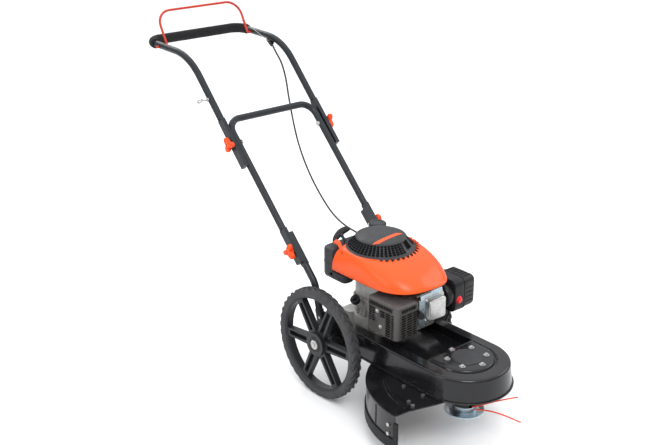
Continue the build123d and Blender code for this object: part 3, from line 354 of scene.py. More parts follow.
def tube(points, radius, sides=12):
    """A round tube; radius is a number or a function of the share of the way along."""
    rings = []
    for i, (point, (side, up)) in enumerate(zip(points, frames_along(points))):
        r = (radius(i / (len(points) - 1)) if callable(radius) else radius) * MM
        rings.append([point + (side * cos(2 * pi * j / sides) + up * sin(2 * pi * j / sides)) * r
                      for j in range(sides)])
    return lofted(rings)


def joined(*parts):
    """Several (vertices, faces) pairs as one."""
    verts, faces = [], []
    for more_verts, more_faces in parts:
        base = len(verts)
        verts += more_verts
        faces += [tuple(base + i for i in face) for face in more_faces]
    return verts, faces


def pierced(points, rows, columns, hole, depth, wrap=False):
    """A sheet of points, some cells cut by a pocket; hole(i, j) gives its share across and up, or None."""
    verts = list(points)
    faces, mats = [], []
    for i in range(rows - 1):
        for j in range(columns if wrap else columns - 1):
            l = (j + 1) % columns
            corners = [i * columns + j, i * columns + l, (i + 1) * columns + l, (i + 1) * columns + j]
            cut = hole(i, j)
            if not cut:
                faces.append(tuple(corners))
                mats.append(0)
                continue
            a, b, c, d = (verts[k] for k in corners)
            middle = (a + b + c + d) / 4
            normal = (c - a).cross(d - b).normalized()
            base = len(verts)
            for u, v in ((-1, -1), (1, -1), (1, 1), (-1, 1)):
                across, up = (b + c - a - d) / 4 * cut[0] * u, (c + d - a - b) / 4 * cut[1] * v
                verts.append(middle + across + up)
            for k in range(4):
                verts.append(verts[base + k] - normal * depth * MM)
            for k in range(4):
                m = (k + 1) % 4
                faces.append((corners[k], corners[m], base + m, base + k))
                faces.append((base + k, base + m, base + 4 + m, base + 4 + k))
                mats += [0, 0]
            # The pocket's floor takes material 1, which the callers give the painted-shade finish.
            faces.append((base + 4, base + 5, base + 6, base + 7))
            mats.append(1)
    return verts, faces, mats


def hex_bolt(name, centre, axis, size, height, body, washer=0.0):
    """A bolt or nut head with a washer under it and a slightly domed top."""
    axis = Vector(axis).normalized()
    parts = []
    if washer:
        parts.append(lofted([spun([(washer, h)], centre, axis, 24)[0] for h in (0.0, 1.4)]))
    rings = []
    for scale, shift in ((1.0, 0.0), (1.0, height * 0.8), (0.86, height), (0.5, height)):
        rings.append(spun([(size * scale, shift)], centre, axis, 6)[0])
    parts.append(lofted(rings))
    verts, faces = joined(*parts)
    return piece(name, verts, faces, STEEL, body, "bright_steel", sharp=25)


# ------------------------ camera
CAMERA_FROM, CAMERA_DOWN, CAMERA_TURN = (-1.9882, -2.1452, 1.5042), 21.70, -41.01
CAMERA_LENS, CAMERA_SHIFT = 56.33, -0.0047
camera = bpy.data.objects.new("camera", bpy.data.cameras.new("camera"))
bpy.context.scene.collection.objects.link(camera)
camera.location = AXLE + Vector(CAMERA_FROM)
camera.rotation_euler = (radians(90 - CAMERA_DOWN), 0, radians(CAMERA_TURN))
camera.data.lens = CAMERA_LENS
camera.data.sensor_width = 36
camera.data.shift_x = CAMERA_SHIFT
bpy.context.scene.camera = camera


# ------------------------ cords
def smooth_line(points):
    """A NURBS line through a route's control points, returned as the curve itself."""
    curve = bpy.data.curves.new("route", "CURVE")
    curve.dimensions = "3D"
    spline = curve.splines.new("NURBS")
    spline.points.add(len(points) - 1)
    for target, point in zip(spline.points, points):
        target.co = (*point, 1.0)
    spline.order_u = 3
    spline.use_endpoint_u = True
    curve.resolution_u = 10
    return curve


def line_points(points):
    curve = smooth_line(points)
    obj = bpy.data.objects.new("route", curve)
    bpy.context.scene.collection.objects.link(obj)
    bpy.context.view_layer.update()
    mesh = bpy.data.meshes.new_from_object(obj.evaluated_get(bpy.context.evaluated_depsgraph_get()))
    found = [v.co.copy() for v in mesh.vertices]
    bpy.data.objects.remove(obj)
    return found


CABLE_R, LINE_R, ROPE_R, WIRE_R = 3.0, 2.0, 1.9, 0.9
UPPER_CABLE = [(169, 671.5, 926), (158, 640, 908), (146, 592, 882), (132, 552, 838), (122, 528, 786),
               (116, 511, 754)]
LOWER_CABLE = [(116, 511, 754), (107, 485.5, 706), (103, 460, 650), (97, 425, 599), (90, 382, 553),
               (78, 330, 517), (62, 274, 492), (43, 218, 477), (27, 164, 469), (13, 112, 467), (6, 74, 467),
               (4.5, 48, 466)]
for name, route, length, bodies, bend in (
        ("brake_cable_upper_run", UPPER_CABLE, 0.249, ("lower_handle", "upper_handle"),
         (at(122, 528, 786), at(158, 640, 908))),
        ("brake_cable_lower_run", LOWER_CABLE, 0.6055, ("chassis", "lower_handle"),
         (at(43, 218, 477), at(103, 460, 650)))):
    path = line_points([at(*p) for p in route])
    cable = smooth_object(name, *tube(path, CABLE_R, 14), CABLE_BLACK)
    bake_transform(cable)
    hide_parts(name.replace("_run", ""))

head_low, head_high = place("head_hub")
HEAD_X, HEAD_Y = (head_low[0] + head_high[0]) / 2, (head_low[1] + head_high[1]) / 2
LINE_LEGS = {
    "high": [(-14, -41, 93.5), (0, -50, 94), (34, -61, 96), (78, -77, 97), (122, -95, 96)],
    "low": [(-15, -53, 91.5), (-4, -65, 91), (14, -88, 90), (32, -126, 86), (46, -170, 79)],
}
for end, s in (("front", 1), ("rear", -1)):
    for leg, route in LINE_LEGS.items():
        points = [at(HEAD_X + s * x, HEAD_Y + s * y, z) for x, y, z in route]
        curve = smooth_line(points)
        curve.bevel_depth = LINE_R * MM
        curve.bevel_resolution = 4
        curve.use_fill_caps = True
        curve.materials.append(NYLON)
        line = bpy.data.objects.new("trimmer_line_" + end + "_" + leg, curve)
        bpy.context.scene.collection.objects.link(line)
        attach(line, "trimmer_head")
        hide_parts("trimmer_line_" + end)

# ------------------------ tyres
WHEEL_R, CROWN_R, CROWN_HALF, LUGS = 175.0, 170.6, 16.5, 38


def tyre_surface(radius, shift, angle, centre, out):
    return centre + Vector((out * shift * MM, radius * cos(angle) * MM, radius * sin(angle) * MM))


def wheel(side, out):
    """A tyre with a ribbed sidewall and two rows of slanted lugs that meet in a herringbone."""
    low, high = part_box("tyre_" + side)
    centre = (low + high) / 2
    profile = [(152, -15.5), (156, -17.6), (160, -18.4), (163, -18.4), (163.4, -17.9), (165, -17.9),
               (165.4, -18.2),
               (167, -17.4), (168.6, -15.6), (169.8, -13), (170.4, -9), (CROWN_R, 0), (170.4, 9), (169.8, 13),
               (168.6, 15.6), (167, 17.4), (165.4, 18.2), (165, 17.9), (163.4, 17.9), (163, 18.4), (160,
                       18.4),
               (156, 17.6), (152, 15.5)]
    steps = 180
    verts = [tyre_surface(r, w, 2 * pi * i / steps, centre, out) for i in range(steps) for r, w in profile]
    parts = [(verts, quads(steps, len(profile), wrap_rows=True, wrap_columns=True))]
    pitch = 2 * pi / LUGS
    for i in range(LUGS):
        for row in (-1, 1):
            base = pitch * (i + 0.5 * (row > 0))
            lug = []
            for height, grow in ((-1.2, 1.0), (2.9, 0.96), (WHEEL_R - CROWN_R, 0.78)):
                ring = []
                for share, edge in ((0.1, 0), (0.4, 0), (0.7, 0), (1, 0), (1, 1), (0.7, 1), (0.4, 1),
                        (0.1, 1)):
                    w = CROWN_HALF * (0.55 + (share - 0.55) * grow)
                    lead = 0.75 * pitch * share
                    half = 0.27 * pitch * grow
                    drop = 3.4 * max(0.0, (w - 8) / 8.5) ** 2
                    ring.append(tyre_surface(CROWN_R + height - drop, row * w,
                                             base + lead + (half if edge else -half), centre, out))
                lug.append(ring if row * out > 0 else ring[::-1])
            parts.append(lofted(lug))
    verts, faces = joined(*parts)
    piece("tyre_" + side + "_tread", verts, faces, TYRE, "wheel_" + side, "tyre_rubber", ["tyre_" + side])
    hub_x = 20.6
    ring = spun([(14, hub_x - 22), (15, hub_x - 3), (17, hub_x + 1), (22, hub_x + 1.6), (24, hub_x),
                 (30, hub_x - 2),
                 (33, hub_x - 4)], centre, (out, 0, 0), 48)
    piece("hub_ring_" + side, *ring, BLACK_PLASTIC, "wheel_" + side, "rim_plastic")
    cap = spun([(15.5, hub_x - 1), (15, hub_x + 1.2), (12.5, hub_x + 2.6), (9.5, hub_x + 2.2),
                (8.4, hub_x + 0.6),
                (5, hub_x + 0.4), (4.4, hub_x + 3.2), (0.4, hub_x + 3.8)], centre, (out, 0, 0), 40)
    piece("hub_cap_" + side, *cap, STEEL, "wheel_" + side, "bright_steel")


for side, out in (("left", -1), ("right", 1)):
    wheel(side, out)

# ------------------------ engine shroud
ENGINE_Y = -60.0
SHROUD_LOW, SHROUD_HIGH = place("shroud")
SHROUD_HALF, SHROUD_REAR = (SHROUD_HIGH[0] - SHROUD_LOW[0]) / 2, SHROUD_HIGH[1]
SHROUD_CENTRE_Y = -107.0
SHROUD_REACH = SHROUD_CENTRE_Y - SHROUD_LOW[1]
SQUARENESS = 2.8
OPENING_R, OPENING_Z = 103.0, 459.0
TEETH, TOOTH_FROM, TOOTH_TO = 38, radians(-46), radians(114)


def shroud_foot(p):
    """The shroud's lower edge at angle p, which is 0 at the nose and grows towards +X."""
    way_x, way_y = sin(p), -cos(p)
    if way_y < 0:
        share = (abs(way_x) / SHROUD_HALF) ** SQUARENESS + (abs(way_y) / SHROUD_REACH) ** SQUARENESS
        reach = share ** (-1 / SQUARENESS)
    else:
        to_side = SHROUD_HALF / max(abs(way_x), 1e-6)
        reach = min(to_side, (SHROUD_REAR - SHROUD_CENTRE_Y) / max(way_y, 1e-6))
    foot_z = SHROUD_LOW[2] + 2 + 5.0 * max(0.0, cos(p + 0.25)) ** 8
    return reach * way_x, SHROUD_CENTRE_Y + reach * way_y, foot_z


def shroud_point(p, t):
    foot_x, foot_y, foot_z = shroud_foot(p)
    bite = 0.0
    if TOOTH_FROM < p < TOOTH_TO and t < 0.14:
        bite = 19.0 * ((-p / (2 * pi) * TEETH) % 1.0) * (1 - t / 0.14)
    top_r = OPENING_R + bite
    top_x, top_y = top_r * sin(p), min(ENGINE_Y - top_r * cos(p), SHROUD_REAR)
    nose = max(0.0, cos(p)) ** 1.6
    power = 2.3 - 0.85 * nose
    across = sin(t * pi / 2) ** (2 / power) if t > 0 else 0.0
    down = 1 - cos(t * pi / 2) ** (2 / power) if t < 1 else 1.0
    x = top_x + (foot_x - top_x) * across
    y = top_y + (foot_y - top_y) * across
    z = OPENING_Z + (foot_z - OPENING_Z) * down - bite * 0.3
    facet = max(0.0, 1 - abs(degrees(p) - 18) / 26) * max(0.0, 1 - abs(t - 0.72) / 0.2)
    z -= 3.5 * min(1.0, 2.5 * facet)
    return at(x, y, z)


def shroud():
    around, down = 616, 36
    verts = []
    for i in range(around):
        p = -pi + 2 * pi * i / around
        for j in range(down):
            verts.append(shroud_point(p, j / (down - 1)))
    body = piece("engine_shroud", verts, quads(around, down, wrap_rows=True), ORANGE, "chassis",
                 "orange_plastic",
                 ["shroud"], sharp=28)
    thicken(body, 2.6)
    hook = [at(-104, -4, 450), at(-98, 8, 455), at(-93, 18, 459), at(-90, 27, 464), at(-92, 34, 468),
            at(-98, 38, 469)]
    rings = []
    for spot in hook:
        rings.append([spot + Vector((u * 9.5 * MM, v * 5 * MM, w * 3.4 * MM))
                      for u, v, w in ((-1, -1, -1), (1, 1, -1), (1, 1, 1), (-1, -1, 1))])
    tab = piece("shroud_hook", *lofted(rings), ORANGE, "chassis", "orange_plastic")
    soften(tab, 1.4, 2)


shroud()


# ------------------------ recoil cover and starter
STRIPE_FROM, STRIPE_TO, STRIPE_HALF = (-60.0, -43.0), (44.0, -35.0), 7.0
CAP_PROFILE = [(0, 500.5), (10, 500.5), (26, 500.2), (44, 499.4), (60, 498), (70, 496.2), (75.4, 494),
               (90, 480)]
PULL_START, PULL_WAY = at(-58, 32, 459), Vector((0, 0.8, 0.6))


def cap_height(r):
    """The cover's height at distance r from its middle."""
    for (r0, z0), (r1, z1) in zip(CAP_PROFILE, CAP_PROFILE[1:]):
        if r <= r1:
            return z0 + (z1 - z0) * (r - r0) / (r1 - r0)
    return CAP_PROFILE[-1][1]


def recoil_cover():
    """The dark dome: a flared foot, a band pierced by rows of square holes, and a lens-shaped cap."""
    rings = [(106.5, 450), (106.5, 455.5), (104.5, 459), (101, 460.8), (99.5, 461.6), (98.2, 463.2)]
    rows = 5
    for i in range(rows):
        share = (i + 1) / rows
        rings.append((98.2 - 22.5 * share - 1.5 * sin(pi * share), 463.2 + 25.5 * share))
    band = (len(rings) - rows - 1, len(rings) - 1)
    rings += [(74.8, 489.8), (76.6, 490.6), (77.2, 492), (75.4, 494), (70, 496.2), (60, 498), (44, 499.4),
              (26, 500.2),
              (10, 500.5), (0.5, 500.5)]
    count = 48
    verts = []
    for r, z in rings:
        for i in range(count):
            p = 2 * pi * i / count
            verts.append(at(r * sin(p), ENGINE_Y - r * cos(p), z))

    def hole(i, j):
        if not band[0] <= i < band[1]:
            return None
        angle = (j + 0.5) * 360 / count
        angle = angle - 360 if angle > 180 else angle
        if -148 < angle < 8 or 48 < angle < 150:
            return (0.68, 0.7)
        if 13 < angle < 27 and i > band[0]:
            return (0.92, 0.99)
        return None

    verts, faces, mats = pierced(verts, len(rings), count, hole, -2.6, wrap=True)
    faces = [tuple(reversed(f)) for f in faces]
    # The floors of the square holes carry painted shade.
    piece("recoil_dome", verts, faces, [GREY_PLASTIC, HOLE_PAINTED_SHADE], "chassis", "grey_plastic", ["recoil_cover"],
          mats, sharp=30)
    gutter = spun([(96, 453), (108, 447), (116, 438)], at(0, ENGINE_Y, 0), (0, 0, 1), 96)
    keep = [f for f in gutter[1] if all((gutter[0][i].y - AXLE.y) / MM < SHROUD_REAR for i in f)]
    piece("cover_gutter", gutter[0], keep, BLACK_PLASTIC, "chassis", "black_plastic")
    boss = spun([(9, -22), (9, -3), (7.6, -1), (3.4, -1), (3.4, -8)], PULL_START, PULL_WAY, 32)
    piece("rope_boss", *boss, GREY_PLASTIC, "chassis", "grey_plastic")
    stripe = []
    ahead = Vector((STRIPE_TO[0] - STRIPE_FROM[0], STRIPE_TO[1] - STRIPE_FROM[1]))
    across = Vector((-ahead.y, ahead.x)).normalized()
    columns = 40
    for i in range(columns):
        for j in (-1, 0, 1):
            spot = Vector(STRIPE_FROM) + ahead * (i / (columns - 1) - 0.07 * j) + across * j * STRIPE_HALF
            stripe.append(at(spot.x, ENGINE_Y + spot.y, cap_height(hypot(*spot)) + 0.4))
    piece("cover_stripe", stripe, quads(columns, 3), ORANGE, "chassis", "orange_plastic")


recoil_cover()


def starter_handle():
    """A crescent grip on a waisted stem; the rope runs down the stem into the cover."""
    middle = PULL_START + PULL_WAY * 27 * MM
    reach = Vector((34, 2, 13)) * MM
    stations = 15
    rings = []
    for i in range(stations):
        share = -1 + 2 * i / (stations - 1)
        spot = middle + reach * share * 1.08 + PULL_WAY * (10 * (1 - share * share) - 3) * MM
        end = (1 - abs(share) ** 6) ** 0.5 if abs(share) < 1 else 0.0
        thick = (5.5 + 2 * (1 - share * share)) * max(end, 0.25)
        deep = (8 + 3.5 * (1 - share * share)) * max(end, 0.3)
        across = reach.normalized().cross(PULL_WAY).normalized()
        turns = [2 * pi * j / 20 for j in range(20)]
        rings.append([spot + (across * cos(a) * thick + PULL_WAY * sin(a) * deep) * MM for a in turns])
    stem = spun([(2.2, -12), (2.2, 0), (6.5, 1), (6.5, 4), (4.6, 9), (4.6, 18), (7, 25), (7, 30)], PULL_START,
                PULL_WAY, 24)
    verts, faces = joined(lofted(rings), stem)
    piece("starter_grip", verts, faces, BLACK_PLASTIC, "starter_handle", "black_plastic", ["starter_handle"],
          sharp=50)
    for share in (-0.55, 0.55):
        spot = middle + reach * share - PULL_WAY * 1.5 * MM
        ends = [spot + reach * d for d in (-0.3, 0.3)]
        piece("starter_grip_rib_" + ("a" if share < 0 else "b"), *tube(ends, 1.6, 8), GREY_PLASTIC,
              "starter_handle",
              "grey_plastic")


starter_handle()


def starter_rope():
    """The stretch of rope between the cover's boss and the grip, as a fixed tube that does not run out when the
    grip is pulled.
    """
    start, end = PULL_START - PULL_WAY * 6 * MM, PULL_START + PULL_WAY * 22 * MM
    rope = smooth_object("starter_rope", *tube([start.lerp(end, i / 28) for i in range(29)], ROPE_R, 12),
            ROPE)
    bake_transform(rope)


starter_rope()


# ------------------------ fuel cap and tank
def fuel_cap():
    low, high = place("fuel_cap")
    x, y, foot, top = (low[0] + high[0]) / 2, (low[1] + high[1]) / 2, low[2] + 5, high[2]
    count = 144
    rings = []
    for r, z, ripple in ((24.5, foot, 0), (26, foot + 1.5, 0), (26, foot + 2.5, 1.4), (26, top - 4, 1.4),
            (25, top - 2.2, 0.6),
                         (23.4, top - 0.8, 0), (20, top, 0), (16, top, 0), (15.2, top - 1.4, 0), (2,
                                 top - 1.6, 0)):
        rings.append([at(x + (r + ripple * abs(sin(18 * a))) * cos(a),
                y + (r + ripple * abs(sin(18 * a))) * sin(a), z)
                      for a in (2 * pi * i / count for i in range(count))])
    piece("tank_cap", *lofted(rings), GREY_PLASTIC, "fuel_cap", "grey_plastic", ["fuel_cap"], sharp=40)


fuel_cap()


def fuel_tank():
    """A blow-moulded tank with a seam round its middle, and a low wing under the shroud."""
    low, high = place("fuel_tank")
    half, back, foot, top = high[0], high[1], low[2], 450.0
    front, hollow, corner = 24.0, 114.0, 24.0

    def outline(inset, z):
        w, r, reach = half - inset, corner - inset, hollow + inset
        y0, y1 = front + inset, back - inset
        open_half = asin(min(1.0, ((reach ** 2 - (y0 - ENGINE_Y) ** 2) ** 0.5) / reach))
        points = [at(-w, y0, z)]
        points += [at(reach * sin(a), ENGINE_Y + reach * cos(a), z)
                   for a in (-open_half + 2 * open_half * i / 30 for i in range(31))]
        points.append(at(w, y0, z))
        points += [at(w - r + r * cos(a), y1 - r + r * sin(a),
                      z) for a in (radians(9 * i) for i in range(11))]
        points += [at(-w + r - r * sin(a), y1 - r + r * cos(a),
                      z) for a in (radians(9 * i) for i in range(11))]
        return points

    seam = (foot + top) / 2
    levels = [(9, foot), (5, foot + 1), (2, foot + 4), (0.5, foot + 9), (0, foot + 13), (0, seam - 1.6),
              (-1.3, seam - 1.2),
              (-1.3, seam + 1.2), (0, seam + 1.6), (0, top - 10), (0.6, top - 6), (2.2, top - 2.6), (5,
                      top - 0.7), (9, top)]
    wing = []
    for inset, z in ((8, foot), (4, foot + 1), (1.5, foot + 4), (0, foot + 9), (0, foot + 22),
                     (3, foot + 26)):
        wing.append([at(-half + 23.5 + u, 9 + v, z) for u, v in rounded_rect(47 - 2 * inset, 82 - 2 * inset,
                                                                              16 - inset * 0.5, 6)])
    cap_low, cap_high = place("fuel_cap")
    neck = spun([(22, top - 3), (22, top + 1), (20, top + 3), (20, top + 7)],
                at((cap_low[0] + cap_high[0]) / 2, (cap_low[1] + cap_high[1]) / 2, 0), (0, 0, 1), 40)
    verts, faces = joined(lofted([outline(i, z) for i, z in levels]), lofted(wing), neck)
    piece("tank_shell", verts, faces, GREY_PLASTIC, "chassis", "grey_plastic", ["fuel_tank"], sharp=32)


fuel_tank()


# ------------------------ muffler guard
def guard():
    """A rounded box of heat-proof steel, open towards the engine, with rows of slots."""
    low, high = place("muffler_guard")
    x0, x1, y0, y1, z0, z1 = low[0], high[0], low[1], high[1], low[2], high[2]
    r = 13.0

    def wall(flank_stops, front_stops):
        stops = [(x1, y1), (x1 - 30, y1)]
        stops += [(x0 + r - r * sin(a), y1 - r + r * cos(a)) for a in (radians(d) for d in range(0, 91, 15))]
        stops += [(x0, y1 - r - v) for v in flank_stops]
        stops += [(x0 + r - r * cos(a), y0 + r - r * sin(a)) for a in (radians(d) for d in range(0, 91, 15))]
        stops += [(x0 + r + v, y0) for v in front_stops]
        return stops + [(x1, y0)]

    body = wall([2, 12, 15, 25, 47, 66, 70, 89, 94, 101], [2, 19, 25, 44, 48, 64])
    flank = 2 + 7
    slots = {flank: 1, flank + 2: 1, flank + 4: 2, flank + 6: 3, flank + 8: 3, flank + 17: 4, flank + 19: 4,
             flank + 21: 4}
    pitch = 7.6
    levels = [z0, z0 + 3] + [z0 + 3 + pitch * (i + 1) for i in range(10)] + [z1 - 20]
    verts = [at(x, y, z) for z in levels for x, y in body]

    def hole(i, j):
        column = slots.get(j)
        if not column or i == 0 or i == len(levels) - 2:
            return None
        if column == 1 and i < 5:
            return None
        if column == 2 and i < 8:
            return None
        return (0.97, 0.52)

    verts, faces, mats = pierced(verts, len(levels), len(body), hole, -3.0)
    fine = wall([3 + 3.4 * i for i in range(29)], [2 + 3.4 * i for i in range(19)])
    rows = [(z1 - 20, 0.0), (z1 - 7, 0.0), (z1 - 3.5, 1.4), (z1 - 1, 4.0), (z1, 8.0), (z1, 60.0)]
    upper = []
    for z, inset in rows:
        for x, y in fine:
            dx, dy = max(0.0, x - x0), y - (y0 + y1) / 2
            shrink = max(0.0, 1 - inset / 67)
            upper.append(at(min(x1, x0 + min(inset, x1 - x0) + dx * (1 - min(inset, 70) / 78)),
                            (y0 + y1) / 2 + dy * shrink, z))

    def notch(i, j):
        straight = 9 <= j < 37 or 45 <= j < 63
        return (0.96, 0.92) if i == 0 and straight and j % 2 else None

    more_verts, more_faces, more_mats = pierced(upper, len(rows), len(fine), notch, -3.0)
    all_verts, all_faces = joined((verts, faces), (more_verts, more_faces))
    # The floors of the slots carry painted shade.
    piece("guard_shell", all_verts, [tuple(reversed(f)) for f in all_faces], [GUARD_PAINT, HOLE_PAINTED_SHADE], "chassis",
          "grey_plastic", ["muffler_guard"], mats + more_mats, sharp=35)
    boss_at = at(x0, y1 - 33, z0 + 44)
    boss = spun([(15, 0), (14, 2.4), (11, 2.6), (9.5, -1), (5, -1), (4, 1.6), (0.3, 1.8)], boss_at,
                (-1, 0, 0), 40)
    piece("guard_boss", *boss, GUARD_PAINT, "chassis", "grey_plastic")
    hex_bolt("guard_nut_high", at(x0, y1 - 46, z0 + 70), (-1, 0, 0), 4.2, 4.0, "chassis", washer=6.5)
    hex_bolt("guard_nut_low", at(x0, y1 - 60, z0 + 24), (-1, 0, 0), 4.2, 4.0, "chassis", washer=6.5)


guard()


# ------------------------ air filter
def air_filter():
    low, high = place("air_filter_box")
    x0, x1, y0, y1, z0, z1 = low[0], high[0], low[1], high[1], low[2], high[2]
    middle = ((y0 + y1) / 2, (z0 + z1) / 2)
    stations = [(x0, 6), (x0 + 2, 1.5), (x0 + 5, 0.3), (x0 + 38, 0.0), (x0 + 38.6, 1.8), (x0 + 41, 1.8),
                (x0 + 41.6, 0.0),
                (x0 + 46, 0.0), (x0 + 46.6, 2.0), (x1 - 15, 2.4), (x1 - 8, 4.5), (x1 - 3, 9), (x1, 17)]
    rings = []
    for x, inset in stations:
        outline = rounded_rect(y1 - y0 - 2 * inset, z1 - z0 - 2 * inset, max(6.0, 22 - inset), 8)
        rings.append([at(x, middle[0] + u, middle[1] + v) for u, v in outline])
    piece("filter_case", *lofted(rings), BLACK_PLASTIC, "chassis", "black_plastic", ["air_filter_box"],
          sharp=28)
    ribs = []
    for i in range(6):
        y = y0 + 20 + i * 12.5
        section = [(-1.5, 0), (-0.9, 1.6), (0.9, 1.6), (1.5, 0)]
        ribs.append(lofted([[at(x, y + u, z1 - 1.6 + v) for u, v in section] for x in (x0 + 48, x1 - 14)]))
    for i in range(4):
        z = z0 + 26 + i * 14
        section = [(-1.5, 0), (-0.9, 1.6), (0.9, 1.6), (1.5, 0)]
        ribs.append(lofted([[at(x, y0 + 2.0 - v, z + u) for u, v in section] for x in (x0 + 50, x1 - 14)]))
    piece("filter_ribs", *joined(*ribs), BLACK_PLASTIC, "chassis", "black_plastic")
    duct = spun([(20, -26), (33, -24), (36, -20), (36, -4), (34, -1), (30, 0)],
                at(x0, middle[0] - 14, middle[1] + 2),
                (1, 0, 0), 48)
    piece("intake_duct", *duct, BLACK_PLASTIC, "chassis", "black_plastic")
    bulb_low, bulb_high = place("primer_bulb")
    centre = at((bulb_low[0] + bulb_high[0]) / 2, bulb_high[1], (bulb_low[2] + bulb_high[2]) / 2)
    bulb = [(13 * cos(radians(a)), 3 + 10 * sin(radians(a))) for a in range(0, 90, 9)]
    piece("primer_dome", *spun([(13, 0), (13, 2)] + bulb + [(0.3, 13)], centre, (0, -1, 0), 40), RED_PLASTIC,
          "primer_bulb", "red_plastic", ["primer_bulb"])
    collar = spun([(15, -1), (18.5, 2), (18.5, 5), (16.5, 7), (13.9, 7), (13.9, 1)], centre, (0, -1, 0), 48)
    piece("primer_collar", *collar, BLACK_PLASTIC, "chassis", "black_plastic")


air_filter()


# ------------------------ engine details
def engine_details():
    cover_low, cover_high = place("valve_cover")
    x0, x1, z0, z1, face = cover_low[0], cover_high[0], cover_low[2], cover_high[2], cover_high[1]
    left = [[at(x, face - y, z) for x, y in ((x0 - 16, 2), (x0 - 16, 4), (x0 + 5, 8), (x0 + 5, 6))]
            for z in (z0 - 6, z1 - 6)]
    top = [[at(x, face - y, z) for y, z in ((4, z1 - 6), (7, z1 - 8), (2, z1 + 12), (-1, z1 + 11))]
           for x in (x0 - 12, x1 - 4)]
    plate = piece("head_plate", *joined(lofted(left), lofted(top)), ZINC_BLUE, "chassis", "zinc_plate")
    soften(plate, 0.8)
    for i, (x, z) in enumerate(((x0 + 10, z0 + 10), (x1 - 10, z0 + 10), (x0 + 10, z1 - 10),
            (x1 - 10, z1 - 10))):
        hex_bolt("cover_bolt_%d" % i, at(x, face - 6, z), (0, -1, 0), 4.2, 4.0, "chassis", washer=6.0)
    ribs = []
    for i in range(5):
        y = -96 + i * 17
        ribs.append(lofted([[at(-61 + u, y + v, z) for u,
                v in ((-9 + k, -1.6), (6, -2.4), (6, 2.4), (-9 + k, 1.6))]
                            for z, k in ((212, 0), (250, 3), (300, 7))]))
    flange = lofted([[at(u, ENGINE_Y + v, z) for u, v in rounded_rect(124, 134, 22)] for z in (292, 294, 299,
            301)])
    piece("case_ribs", *joined(*ribs, flange), CAST, "chassis", "cast_aluminium")
    for i, (x, y) in enumerate(((-56, -112), (-56, -8), (56, -112), (56, -8))):
        hex_bolt("case_bolt_%d" % i, at(x, y, 301), (0, 0, 1), 4.6, 5.0, "chassis")
    lever = [at(-62, -70, 262), at(-78, -84, 268), at(-92, -88, 276)]
    piece("governor_arm", *tube(lever, 2.2, 10), STEEL, "chassis", "bright_steel")
    spring = []
    for i in range(120):
        share = i / 119
        a = share * 2 * pi * 14
        spring.append(at(-30 + 58 * share, -246 + 6 * sin(a) * 0.5, 366 + 3 * cos(a)))
    piece("governor_spring", *tube(spring, 0.8, 6), STEEL, "chassis", "bright_steel")


engine_details()


# ------------------------ knobs
def knob(node, out, phase):
    """Three rounded lobes on a hub with the bolt's end showing in its face."""
    low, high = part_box(node)
    centre = (low + high) / 2
    inner = low.x if out > 0 else high.x
    rings = []
    count = 72
    for scale, shift, lobe in ((0.7, 0, 0.0), (0.72, 3, 0.1), (0.9, 4.5, 0.8), (1.0, 7, 1.0), (1.0, 15, 1.0),
                               (0.93, 18, 0.95), (0.8, 19.4, 0.8), (0.34, 19.4, 0.0), (0.3, 14, 0.0)):
        ring = []
        for i in range(count):
            a = 2 * pi * i / count
            reach = 12.5 * (1 - lobe) + lobe * (9.0 + 17.0 * abs(cos(1.5 * (a + phase))) ** 2.0)
            ring.append(Vector((inner + out * shift * MM, centre.y + reach * scale * cos(a) * MM,
                                centre.z + reach * scale * sin(a) * MM)))
        rings.append(ring)
    piece(node + "_lobes", *lofted(rings), ORANGE_KNOB, node, "orange_plastic", [node], sharp=50)
    hex_bolt(node + "_bolt_end", Vector((inner + out * 14 * MM, centre.y, centre.z)), (out, 0, 0), 3.6, 3.0,
             node)


for node, out, phase in (("knob_lower_left", -1, 0.4), ("knob_lower_right", 1, 0.9),
        ("knob_upper_left", -1, 1.3),
                         ("knob_upper_right", 1, 0.2)):
    knob(node, out, phase)


# ------------------------ foam grip, bail and its wire
def rounded(corners, radius, step=radians(7.5)):
    """A path of straight runs with round corners, as a bent bar has."""
    path = [corners[0]]
    for before, corner, after in zip(corners, corners[1:], corners[2:]):
        come, leave = (corner - before).normalized(), (after - corner).normalized()
        turn = come.angle(leave)
        start = corner - come * radius * MM * sin(turn / 2) / cos(turn / 2)
        inward = (leave - come * leave.dot(come)).normalized()
        for i in range(ceil(turn / step) + 1):
            a = turn * i / ceil(turn / step)
            path.append(start + (come * sin(a) + inward * (1 - cos(a))) * radius * MM)
    return path + [corners[-1]]


def filled(path, gap):
    """The same path with more points on its long runs."""
    out = [path[0]]
    for before, after in zip(path, path[1:]):
        parts = max(1, ceil((after - before).length / (gap * MM)))
        out += [before.lerp(after, (i + 1) / parts) for i in range(parts)]
    return out


GRIP_Y, GRIP_Z, GRIP_HALF, LEG_SLOPE, FOAM_LEG, FOAM_R = 883.0, 953.0, 187.7, 0.0372, 47, 16.6
corners = [at(-GRIP_HALF, GRIP_Y - FOAM_LEG, GRIP_Z - FOAM_LEG * LEG_SLOPE), at(-GRIP_HALF, GRIP_Y, GRIP_Z),
           at(GRIP_HALF, GRIP_Y, GRIP_Z), at(GRIP_HALF, GRIP_Y - FOAM_LEG, GRIP_Z - FOAM_LEG * LEG_SLOPE)]
grip_path = filled(rounded(corners, 45.0), 6.0)
random.seed(4)
swell = [random.uniform(-0.25, 0.25) for _ in range(40)]


def grip_radius(share):
    end = min(share, 1 - share) * 95
    lump = swell[int(share * 39)] * 0.6
    return (FOAM_R + lump) * (1.0 if end > 1 else 0.86 + 0.14 * end)


foam = piece("grip_foam", *tube(grip_path, grip_radius, 28), FOAM, "upper_handle", "foam", ["foam_grip"],
             sharp=60)


